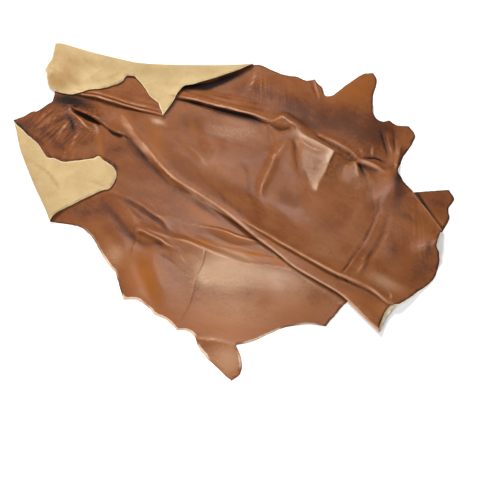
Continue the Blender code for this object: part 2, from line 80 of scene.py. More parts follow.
# Pleats. The sheet rises to the line, turns down over it and goes on to the right of it, lower.
# Columns: x, y, radius of the crest, straight run after it, length of the rise, turn in degrees
mainPleat = (
    (-575, 540, 20, 0, 100, 0),
    (-508, 428, 14, 24, 120, 20),
    (-409, 274, 10, 32, 140, 26),
    (-275, 92, 7, 28, 160, 38),
    (-168, 4, 6, 22, 170, 52),
    (-60, -84, 6, 18, 180, 84),
    (33, -170, 7, 18, 180, 128),
    (125, -258, 6.5, 24, 180, 164),
    (215, -333, 5.5, 36, 190, 180),
    (300, -416, 5, 50, 200, 180),
    (395, -483, 5, 66, 210, 180),
    (500, -558, 5, 88, 220, 180),
    (575, -646, 5, 114, 220, 180),
    (657.5, -744.5, 5, 146, 220, 180),
)
tabPleat = (
    (1070, -360, 3.8, 30, 240, 0),
    (980, -215, 3.8, 30, 180, 180),
    (920, -98, 3.8, 28, 240, 180),
    (867.5, 2, 3.8, 22, 220, 180),
    (840, 180, 3.8, 22, 220, 0),
)

# Turned-over edges. The flap beyond the line, to its right, lies back over the sheet.
# Columns: x, y, radius of the roll, slope at which the flap stands up off the sheet
topTurn = (
    (122, 815, 6, 0.1),
    (68, 808, 7, 0.22),
    (0, 803, 8, 0.24),
    (-100, 800, 9, 0.16),
    (-298, 802, 10, 0),
    (-460, 814, 11, 0),
    (-580, 847, 11, 0),
    (-730, 898, 10, 0),
    (-859, 950, 9, 0),
    (-904, 955, 8, 0),
)
leftTurn = (
    (-1058, 445, 6, 0.03),
    (-1036, 385, 7, 0.02),
    (-1000, 262, 9, 0),
    (-952, 148, 10, 0),
    (-898, 28, 10, 0),
    (-841, -86, 9, 0),
    (-808, -165, 7, 0),
)

# The cut edge, once round the hide. Each run names the layer that it belongs to.
cutEdge = (
    ("upper", ((122, 815), (164, 813), (218, 781), (278, 748), (345, 733), (390, 707), (438, 716))),
    ("upper", ((438, 716), (453, 685), (471, 661), (483, 601), (522, 604), (570, 652), (630, 709),
        (684, 751), (735, 760))),
    ("upper", ((735, 760), (749, 703), (723, 601), (715, 493), (732, 448), (762, 430), (793, 442),
        (828, 412), (885, 406))),
    ("upper", ((885, 406), (909, 355), (903, 319), (862, 245), (838, 205), (809, 130), (811, 85), (828, 42),
        (867.5, 2))),
    ("tab", ((867.5, 2), (950, 9), (1040, 20))),
    ("tab", ((1040, 20), (1058, -37.5), (1025, -90), (1022, -150), (982, -217))),
    ("upper", ((980, -215), (942.5, -303), (950, -350), (942.5, -410), (905, -487), (837.5, -542),
        (752, -607))),
    ("upper", ((752, -607), (732.5, -610), (702.5, -622), (672.5, -674), (656.5, -738))),
    ("turned", ((665, -735), (687, -680), (720, -634), (745, -612))),
    ("lower", ((733, -606), (660, -560), (575, -555), (515, -600), (462.5, -667.5), (432.5, -708))),
    ("lower", ((432.5, -708), (350, -697.5), (260, -712.5), (185, -742.5), (125, -777), (50, -798))),
    ("lower", ((50, -798), (72.5, -870), (65, -930), (30, -965))),
    ("lower", ((30, -965), (-40, -892.5), (-100, -825), (-130, -757.5), (-160, -727.5), (-205, -724.5))),
    ("lower", ((-205, -724.5), (-250, -675), (-302.5, -648), (-332.5, -615), (-385, -577.5),
        (-445, -574.5))),
    ("lower", ((-445, -574.5), (-475, -480), (-497.5, -427.5), (-544, -362), (-586, -284), (-634, -221),
        (-676, -191), (-730, -176), (-808, -165))),
    ("leftFlap", ((-808, -165), (-778, -120), (-730, -81), (-652, -33), (-586, 7), (-550, 21), (-526, 87),
        (-544, 147), (-598, 192), (-619, 212), (-646, 198), (-703, 189), (-778, 180), (-823, 201),
        (-868, 213), (-919, 294), (-970, 339), (-1042, 413), (-1058, 445))),
    ("lower", ((-1058, 445), (-1006, 471), (-970, 498), (-946, 504), (-901, 546), (-880, 567),
        (-874, 639))),
    ("lower", ((-874, 639), (-882, 740), (-890, 850), (-898, 955))),
    ("topFlap", ((-904, 955), (-913, 860), (-940, 782), (-931, 752), (-904, 656), (-850, 620))),
    ("topFlap", ((-850, 620), (-784, 608), (-700, 635), (-610, 659), (-541, 695), (-520, 733),
        (-478, 728))),
    ("topFlap", ((-478, 728), (-424, 656), (-391, 596), (-346, 551), (-322, 464))),
    ("topFlap", ((-322, 464), (-268, 578), (-226, 660), (-178, 667), (-130, 682), (-50, 712), (0, 736),
        (62, 768), (122, 813))),
)

# How a fold's height goes across its line, from left to right: share of its width, share of its height
across = {
    "soft": ((-1, 0), (-0.5, 0.42), (-0.15, 0.94), (0, 1), (0.15, 0.94), (0.5, 0.42), (1, 0)),
    "sharp": ((-1, 0), (-0.55, 0.16), (-0.2, 0.62), (0, 1), (0.2, 0.62), (0.55, 0.16), (1, 0)),
}
# The folds. Each has a smooth line of x, y and height, below zero for a trough; its shape across, by
# name with its width to the left and to the right, or as ways from the line and shares of its height;
# and the layer that it shapes. With a lean, its crest goes over sideways by that much. Its wear and
# shading make its line paler, worn and a painted highlight, or darker in a trough, a painted shade;
# tones give the same across the line, from left to right, with painted shade where it falls away
folds = (
    # the long fold under the turned edge, and the one to the left of it; their tones paint shade under
    # their leaning crests and highlight along them
    {"line": ((-300, 614, 0), (-275, 610, 10), (-200, 592, 21), (-100, 560, 28), (0, 526, 30),
              (100, 490, 26), (160, 466, 18), (210, 442, 8), (240, 428, 0)),
     "shape": ((-140, 0), (-90, 0.14), (-45, 0.5), (-14, 0.9), (0, 1), (10, 0.9), (24, 0.25), (36, 0.06),
               (55, 0)), "lean": (-6, -20), "layer": "ground",
     "tones": ((-32, 0), (-22, 0.4), (-12, -0.3), (-4, 1.2), (2, 0.8), (7, -1.8), (22, -1.6), (30, -0.4),
               (40, 0))},
    {"line": ((-800, 638, 0), (-745, 622, 12), (-700, 607, 18), (-600, 577, 21), (-500, 541, 21),
              (-420, 515, 18), (-340, 492, 12), (-290, 478, 0)),
     "shape": ((-85, 0), (-50, 0.3), (-24, 0.82), (-18, 0.9), (-10, 0.66), (0, 1), (8, 0.85), (18, 0.15),
               (30, 0)), "lean": (-4, -15), "layer": "ground",
     "tones": ((-34, 0), (-25, 0.7), (-18, -0.3), (-9, -0.2), (-1, 1), (4, 0.3), (8, -0.5), (22, -0.5),
               (32, 0))},
    # its kinked end, the facet's upper crest
    {"line": ((155, 448, 0), (205, 434, 8), (243, 436, 14), (274, 440, 18), (302, 414, 12), (354, 376, 6),
              (402, 325, 0)),
     "shape": ((-50, 0), (-22, 0.35), (-6, 0.9), (0, 1), (12, 0.9), (30, 0.7), (50, 0.2), (70, 0)),
     "layer": "ground", "wearAndShading": 1},
    {"line": ((195, 425, 0), (225, 398, -7), (255, 380, -9), (295, 380, -6), (330, 386, 0)),
     "shape": ((-18, 0), (-6, 0.7), (0, 1), (10, 0.5), (24, 0)), "layer": "sheet", "wearAndShading": 0.8},
    {"line": ((330, 360, 0), (350, 305, 3), (380, 270, 4), (420, 240, 4), (490, 215, 0)),
     "shape": ("soft", 22, 26), "layer": "sheet", "wearAndShading": 0.4},
    # the upper left, where the hide is crowded; its two troughs are painted darker as the shade in deep
    # pits
    {"line": ((-800, 545, 0), (-790, 530, 6), (-775, 480, 11), (-740, 445, 13), (-700, 400, 12),
              (-670, 375, 8), (-645, 352, 0)),
     "shape": ("sharp", 45, 50), "layer": "ground"},
    {"line": ((-840, 560, 0), (-760, 518, 10), (-690, 474, 22), (-645, 446, 18), (-600, 408, 8),
              (-545, 371, 14), (-500, 350, 6), (-450, 318, 0)),
     "shape": ((-100, 0), (-50, 0.35), (-12, 0.9), (0, 1), (5, 0.9), (12, 0.1), (18, 0)),
     "lean": (-8, -14), "layer": "ground"},
    {"line": ((-770, 505, 0), (-735, 482, -14), (-690, 452, -18), (-650, 428, -14), (-625, 408, 0)),
     "shape": ("soft", 18, 20), "layer": "ground", "wearAndShading": 2.5},
    {"line": ((-590, 385, 0), (-565, 366, -14), (-540, 348, -14), (-515, 335, 0)),
     "shape": ("soft", 16, 18), "layer": "ground", "wearAndShading": 2},
    # the folds that run in from the left flap
    {"line": ((-580, 10, 0), (-551, 1, 4), (-500, -22, 5), (-454, -42, 6), (-415, -66, 7), (-377, -94, 8),
              (-340, -121, 8), (-304, -150, 8), (-280, -183, 7), (-255, -217, 5), (-209, -239, 3),
              (-154, -244, 0)),
     "shape": ((-110, 0), (-50, 0.32), (-14, 0.86), (0, 1), (8, 0.72), (26, 0.14), (42, 0)),
     "layer": "ground",
     "tones": ((-20, 0), (-7, 0.3), (-1, 0), (4, -0.75), (14, -0.55), (32, 0))},
    {"line": ((-600, -12, 0), (-590, -31, -3), (-548, -88, -5), (-508, -133, -7), (-462, -200, -8),
              (-422, -255, -9), (-383, -288, -9), (-347, -293, -8), (-293, -286, -5), (-262, -284, 0)),
     "shape": ((-45, 0), (-18, 0.55), (-4, 0.97), (6, 1), (22, 0.75), (50, 0.2), (75, 0)),
     "layer": "ground",
     "tones": ((-18, 0), (-6, -0.3), (2, -0.75), (12, -0.45), (34, 0))},
    {"line": ((-560, -10, 0), (-500, -55, 3), (-450, -110, 4), (-410, -165, 3), (-390, -190, 0)),
     "shape": ("soft", 32, 34), "layer": "ground", "wearAndShading": 0.2},
    {"line": ((-415, -226, 0), (-387, -222, 8), (-350, -239, 9), (-299, -266, 9), (-275, -288, 7),
              (-228, -320, 3), (-200, -335, 0)),
     "shape": ((-16, 0), (-6, 0.6), (0, 1), (6, 0.8), (18, 0.1), (26, 0)), "layer": "sheet",
     "tones": ((-8, 0), (-3, 0.5), (1, 1), (5, 0.4), (9, -0.3), (18, -0.2), (30, 0))},
    # the fold across the lower middle, and the one beside the long pleat
    {"line": ((-410, -200, 0), (-384, -206, 8), (-323, -228, 12), (-254, -255, 14), (-185, -277, 18),
              (-116, -309, 21), (-48, -342, 23), (20, -374, 21), (75, -388, 17), (129, -400, 13),
              (190, -408, 9), (280, -420, 5), (360, -440, 0)),
     "shape": ((-60, 0), (-34, 0.25), (-9, 0.86), (0, 1), (20, 0.92), (60, 0.66), (110, 0.28), (150, 0.07),
               (190, 0)), "layer": "ground",
     "tones": ((-34, 0), (-18, -0.2), (-8, -0.3), (-3, 0.5), (1, 1.1), (6, 0.6), (12, 0.1), (20, 0))},
    {"line": ((-330, -130, 0), (-310, -133, 2), (-268, -133, 3), (-222, -145, 4), (-189, -167, 5),
              (-143, -178, 7), (-97, -189, 9), (-51, -206, 12), (-5, -222, 14), (41, -244, 15),
              (96, -261, 13), (135, -272, 9), (200, -290, 0)),
     "shape": ((-30, 0), (-18, 0.2), (-6, 0.82), (0, 1), (20, 0.8), (50, 0.35), (80, 0)), "layer": "ground",
     "tones": ((-16, 0), (-6, -0.6), (-2, 0.3), (1, 1.1), (5, 0.6), (10, 0.1), (18, 0))},
    {"line": ((-190, -225, 0), (-150, -244, -4), (-110, -262, -4), (-72, -282, -5), (-4, -301, -6),
              (60, -315, -6), (129, -331, -6), (200, -350, -4), (260, -367, 0)),
     "shape": ("soft", 34, 40), "layer": "ground",
     "tones": ((-14, 0), (-6, -0.2), (0, -0.55), (6, -0.35), (20, 0))},
    # along the crest of the long pleat: the valley behind it, and the inner ridge
    {"line": ((-220, 220, 0), (-160, 135, -4), (-80, 35, -7), (5, -68, -7), (50, -120, -5), (90, -170, 0)),
     "shape": ("soft", 34, 30), "layer": "upper", "wearAndShading": 0.5},
    {"line": ((60, -165, 0), (85, -185, 5), (120, -207, 9), (165, -240, 12), (235, -285, 14),
              (300, -328, 16), (395, -390, 17), (460, -435, 17), (500, -460, 15), (545, -485, 16),
              (630, -535, 14), (690, -585, 10), (735, -610, 6), (760, -625, 0)),
     "shape": ((-150, 0), (-80, 0.22), (-30, 0.7), (-8, 0.95), (0, 1), (7, 0.75), (16, 0.05), (24, -0.06),
               (36, 0)), "lean": (-5, -7), "layer": "upper",
     "tones": ((-26, 0), (-18, -0.2), (-10, 0.3), (-3, 0.9), (1, 1.1), (5, 0.4), (9, -0.2), (14, -0.2),
               (24, 0))},
    # the fields between the pleat and the long fold behind it
    {"line": ((275, 320, 0), (262, 270, 6), (230, 205, 9), (190, 125, 10), (165, 50, 10), (152, -10, 7),
              (147, -50, 0)),
     "shape": ((-60, 0), (-30, 0.28), (-10, 0.82), (0, 1), (12, 0.8), (32, 0.22), (55, 0)),
     "layer": "ground", "wearAndShading": 0.35},
    {"line": ((70, 200, 0), (85, 160, -4), (95, 80, -7), (100, 0, -8), (122, -70, -7), (150, -160, -5),
              (190, -235, 0)),
     "shape": ((-55, 0), (-18, 0.65), (0, 1), (20, 0.75), (65, 0)), "layer": "sheet", "wearAndShading": 0.4},
    {"line": ((-185, 490, 0), (-175, 440, -5), (-165, 380, -6), (-145, 310, -5), (-110, 240, 0)),
     "shape": ("soft", 50, 55), "layer": "sheet", "wearAndShading": 0.3},
    {"line": ((-200, 310, 0), (-175, 270, 3), (-130, 210, 4), (-90, 160, 0)),
     "shape": ("soft", 30, 34), "layer": "sheet"},
    {"line": ((-30, 320, 0), (-40, 280, 2), (-60, 220, 2), (-75, 180, 0)),
     "shape": ("soft", 20, 22), "layer": "sheet", "wearAndShading": 0.28},
    {"line": ((190, 400, 0), (195, 360, -5), (205, 300, -6), (212, 240, 0)),
     "shape": ("soft", 24, 26), "layer": "sheet", "wearAndShading": 0.5},
    {"line": ((318, 330, 0), (322, 290, -6), (326, 230, -6), (335, 160, -4), (350, 90, 0)),
     "shape": ("soft", 30, 22), "layer": "sheet", "wearAndShading": 0.4},
    # from the facet to the pinch at the right, and the pinch's own folds
    {"line": ((430, 345, 0), (450, 330, -5), (495, 300, -8), (540, 270, -9), (585, 235, -8), (610, 205, -6),
              (625, 190, 0)),
     "shape": ((-40, 0), (-18, -0.55), (-9, -0.8), (-4, 0.1), (0, 1), (6, 1), (22, 0.45), (50, 0)),
     "layer": "sheet",
     "tones": ((-22, 0), (-13, 0.3), (-5, 0.9), (1, -0.3), (6, -0.6), (13, -0.2), (30, 0))},
    {"line": ((618, 192, 0), (640, 184, 7), (675, 166, 8), (715, 145, 7), (750, 118, 4), (780, 90, 0)),
     "shape": ((-34, 0), (-18, 0.22), (-8, 0.8), (0, 1), (10, 0.92), (18, 0.5), (24, 0.05), (30, -0.25),
               (44, 0)), "layer": "ground",
     "tones": ((-12, 0), (-6, 0.3), (0, 0.8), (5, 0.5), (10, 0.6), (15, -0.2), (20, -0.5), (28, -0.3),
               (42, 0))},
    {"line": ((645, 196, 0), (670, 199, -4), (710, 196, -5), (745, 180, -4), (770, 165, 0)),
     "shape": ("sharp", 14, 14), "layer": "sheet", "wearAndShading": 0.8},
    {"line": ((625, 186, 0), (630, 160, -7), (640, 125, -8), (655, 90, -5), (668, 55, 0)),
     "shape": ("soft", 30, 18), "layer": "sheet", "wearAndShading": 0.7},
    {"line": ((600, 190, 0), (609, 165, 7), (614, 120, 8), (620, 80, 5), (630, 35, 0)),
     "shape": ((-18, 0), (-6, 0.7), (0, 1), (20, 0.6), (65, 0)), "layer": "sheet", "wearAndShading": 0.8},
    # the long crease down the right side, and the right edge
    {"line": ((735, 50, 0), (730, 0, -2), (715, -40, -3), (700, -100, -4), (680, -140, -4),
              (660, -190, -4.5), (630, -255, -4.5), (595, -320, -4.5), (560, -370, -4), (530, -430, -4),
              (512, -458, 0)),
     "shape": ((-60, 0), (-30, -0.4), (-12, -0.5), (-4, 0.6), (0, 1), (6, 0.75), (20, 0.12), (34, 0)),
     "layer": "sheet",
     "tones": ((-26, 0), (-18, -0.4), (-12, -0.3), (-7, 0.3), (-3, -0.1), (1, -0.8), (5, -0.5), (11, 0.3),
               (18, 0.1), (30, 0))},
    {"line": ((845, 310, 0), (830, 280, 5), (820, 230, 8), (805, 165, 8), (795, 120, 6), (790, 70, 0)),
     "shape": ((-28, 0), (-10, 0.5), (0, 1), (10, 0.8), (30, 0.22), (50, 0)),
     "layer": "ground", "wearAndShading": 0.8},
    # the crease down to the lower edge, and the soft trough to the left of it
    {"line": ((-87, -315, 0), (-90, -345, -2), (-94, -378, -3), (-104, -410, -3), (-120, -445, -3),
              (-135, -500, -3), (-140, -550, -2), (-152, -600, -2), (-180, -660, -2), (-200, -710, -3),
              (-208, -730, -2)),
     "shape": ((-10, 0), (-3, 0.75), (0, 1), (3, 0.4), (7, -0.5), (11, -0.7), (20, -0.4), (40, -0.1),
               (60, 0)), "layer": "sheet",
     "tones": ((-7, 0), (-3, -0.4), (0, -0.9), (3, -0.5), (6, 0.3), (9, 0.7), (13, 0.2), (20, 0))},
    {"line": ((-420, -310, 0), (-400, -360, -5), (-370, -450, -8), (-345, -520, -8), (-320, -580, -6),
              (-300, -640, 0)),
     "shape": ("soft", 65, 75), "layer": "sheet"},
    {"line": ((-135, -760, 0), (-100, -768, 6), (-30, -778, 7), (30, -788, 5), (60, -795, 0)),
     "shape": ((-50, 0), (-20, 0.5), (0, 1), (12, 0.8), (30, 0.2), (50, 0)),
     "layer": "ground", "wearAndShading": 0.6},
)
# Flat facets between folds: three corners of x, y and height, and how far the sheet takes to fall
# away beyond each side, starting with the side from the first corner to the second. Last, how much
# paler they are painted, a painted sheen
facets = (
    (((270, 440, 14), (505, 222, 22), (412, 0, 1)), (50, 85, 120), 0),
    (((305, 385, 0), (508, 226, 6), (408, 4, 0)), (10, 12, 30), 0.36),
    (((612, 160, 6), (680, 60, 4), (600, 20, 1)), (40, 50, 60), 0.25),
)
# Finer creases. Columns: layer, width to the left and to the right, then the line's places and heights
creases = (
    ("sheet", 10, 12, ((365, 150, 0), (390, 143, -2), (430, 132, -2), (460, 125, 0))),
    ("sheet", 10, 12, ((355, 128, 0), (385, 120, -2), (430, 108, -2), (455, 104, 0))),
    ("sheet", 8, 10, ((370, 175, 0), (400, 170, -1), (450, 165, -1), (480, 160, 0))),
    ("sheet", 12, 12, ((-215, -145, 0), (-200, -165, -3), (-175, -205, -3), (-155, -240, 0))),
    ("sheet", 12, 12, ((-140, -180, 0), (-125, -205, -2), (-110, -235, 0))),
    ("sheet", 10, 12, ((-130, -490, 0), (-110, -489, -3), (-80, -480, -3), (-60, -470, 0))),
    ("sheet", 12, 12, ((-300, -345, 0), (-280, -358, -2), (-240, -385, -2), (-200, -420, 0))),
    ("sheet", 12, 12, ((-290, -400, 0), (-260, -425, -2), (-230, -460, -2), (-215, -485, 0))),
    ("sheet", 14, 14, ((-250, -330, 0), (-225, -345, 2), (-190, -380, 2), (-165, -400, 0))),
    # fine streaks that run out from the crowded corner
    ("sheet", 14, 18, ((-800, 510, 0), (-850, 465, 2), (-900, 415, 2), (-945, 370, 0))),
    ("sheet", 12, 16, ((-790, 485, 0), (-830, 435, -3), (-865, 380, -3), (-890, 325, 0))),
    ("sheet", 12, 14, ((-775, 455, 0), (-805, 400, 2), (-830, 340, 1), (-850, 285, 0))),
    ("sheet", 12, 16, ((-755, 430, 0), (-780, 370, -3), (-795, 310, -2), (-805, 250, 0))),
    ("sheet", 14, 14, ((-730, 400, 0), (-745, 345, 1), (-755, 280, 1), (-760, 225, 0))),
    ("sheet", 10, 12, ((-900, 560, 0), (-930, 500, -2), (-970, 450, -2), (-1010, 420, 0))),
    ("sheet", 14, 14, ((-660, 425, 0), (-645, 390, 1.5), (-640, 350, 1), (-650, 300, 0))),
    # the crumple on the pleat, where the long crease meets it
    ("upper", 9, 9, ((478, -450, 0), (492, -472, -4), (498, -500, 0))),
    ("upper", 9, 9, ((512, -470, 0), (530, -492, -4), (532, -518, 0))),
    ("upper", 9, 9, ((492, -488, 0), (524, -506, 3), (562, -513, 0))),
    ("upper", 9, 9, ((486, -505, 0), (500, -525, -3), (505, -548, 0))),
    ("upper", 12, 12, ((715, -540, 0), (722, -565, 3), (716, -595, 0))),
    # along the long crease, and the right side
    ("sheet", 12, 14, ((672, -10, 0), (684, -70, -2), (676, -120, 0))),
    ("sheet", 16, 18, ((640, -330, 0), (605, -400, 1), (570, -470, 0))),
    ("sheet", 10, 10, ((885, 395, 0), (880, 370, -4), (874, 340, -4), (860, 290, 0))),
    ("sheet", 10, 12, ((745, 400, 0), (752, 330, -2), (760, 250, -2), (768, 190, 0))),
    ("sheet", 10, 12, ((775, 390, 0), (780, 310, 2), (786, 230, 2), (784, 150, 0))),
    ("sheet", 10, 12, ((800, 400, 0), (806, 340, -2), (806, 270, -2), (800, 210, 0))),
    ("sheet", 10, 12, ((655, 200, 0), (650, 230, 3), (640, 285, 0))),
    ("sheet", 10, 12, ((690, 205, 0), (694, 240, 3), (704, 290, 0))),
    ("sheet", 10, 12, ((560, 205, 0), (585, 196, -4), (618, 192, 0))),
    ("sheet", 16, 18, ((828, -120, 0), (838, -141, -1.5), (867, -188, -1.5), (882, -210, 0))),
    ("sheet", 16, 14, ((925, -245, 0), (915, -276, -1.5), (905, -331, -1.5), (897, -365, 0))),
    # straight fine lines in the upper right
    ("sheet", 8, 8, ((136, 772, 0), (130, 750, 0.6), (112, 675, 0.6), (95, 604, 0))),
    ("sheet", 7, 7, ((166, 770, 0), (166, 700, 1), (165, 560, 0))),
    ("sheet", 7, 7, ((184, 760, 0), (183, 660, 1), (182, 545, 0))),
    ("sheet", 12, 12, ((432, 712, 2), (438, 685, 5), (448, 635, 5), (458, 590, 3), (460, 560, 0))),
    ("sheet", 10, 10, ((418, 700, -2), (424, 665, -3), (436, 610, -2), (442, 580, 0))),
    # the turned flaps
    ("leftFlap", 8, 10, ((-940, 175, 0), (-880, 140, -3), (-840, 100, -4), (-800, 45, -3), (-780, -10, 0))),
    ("leftFlap", 30, 30, ((-700, 85, 0), (-650, 68, -3), (-590, 45, -3), (-560, 30, 0))),
    ("leftFlap", 20, 20, ((-1000, 330, 0), (-960, 270, 4), (-900, 215, 4), (-840, 190, 0))),
    ("topFlap", 9, 11, ((-892, 740, 0), (-885, 715, -4), (-875, 675, -5), (-868, 640, 0))),
    ("topFlap", 14, 16, ((-872, 735, 0), (-862, 700, 4), (-850, 650, 3), (-846, 625, 0))),
    ("topFlap", 14, 14, ((-915, 700, 0), (-908, 740, 4), (-898, 800, 0))),
    ("topFlap", 30, 30, ((-900, 780, 0), (-840, 765, 3), (-760, 760, 0))),
    ("topFlap", 50, 50, ((-780, 660, 0), (-720, 720, 4), (-640, 800, 3), (-600, 840, 0))),
)
# Broad swells of the sheet. Columns: x, y, half length, half width, height, bearing in degrees
swells = (
    (-720, 480, 300, 150, 12, -30), (-450, 200, 260, 160, 6, -50), (-100, 300, 280, 180, 14, -40),
    (250, 600, 260, 130, 10, -15), (640, 350, 240, 180, 14, 80), (350, -50, 300, 200, 12, -45),
    (750, -250, 220, 160, 10, -70), (-480, -150, 260, 150, 16, -50), (-350, -450, 240, 150, 13, -60),
    (0, -560, 300, 140, 9, -10), (350, -560, 200, 120, 8, -20),
)
# How the leather is painted across a pleat's crest: painted shade in the valley behind it, the crest worn
# paler and a painted highlight, and painted light over the shaded side beyond it. Columns: way from where
# the crest begins, then how much paler, or darker below zero
pleatTones = ((-110, 0), (-70, -0.15), (-40, -0.3), (-27, -0.1), (-19, 0.25), (-11, -0.1), (-5, 0.15),
              (-1, 1), (4, 1.2), (9, 0.9), (15, 1.1), (30, 1), (36, 0.2), (46, -0.1), (60, 0))
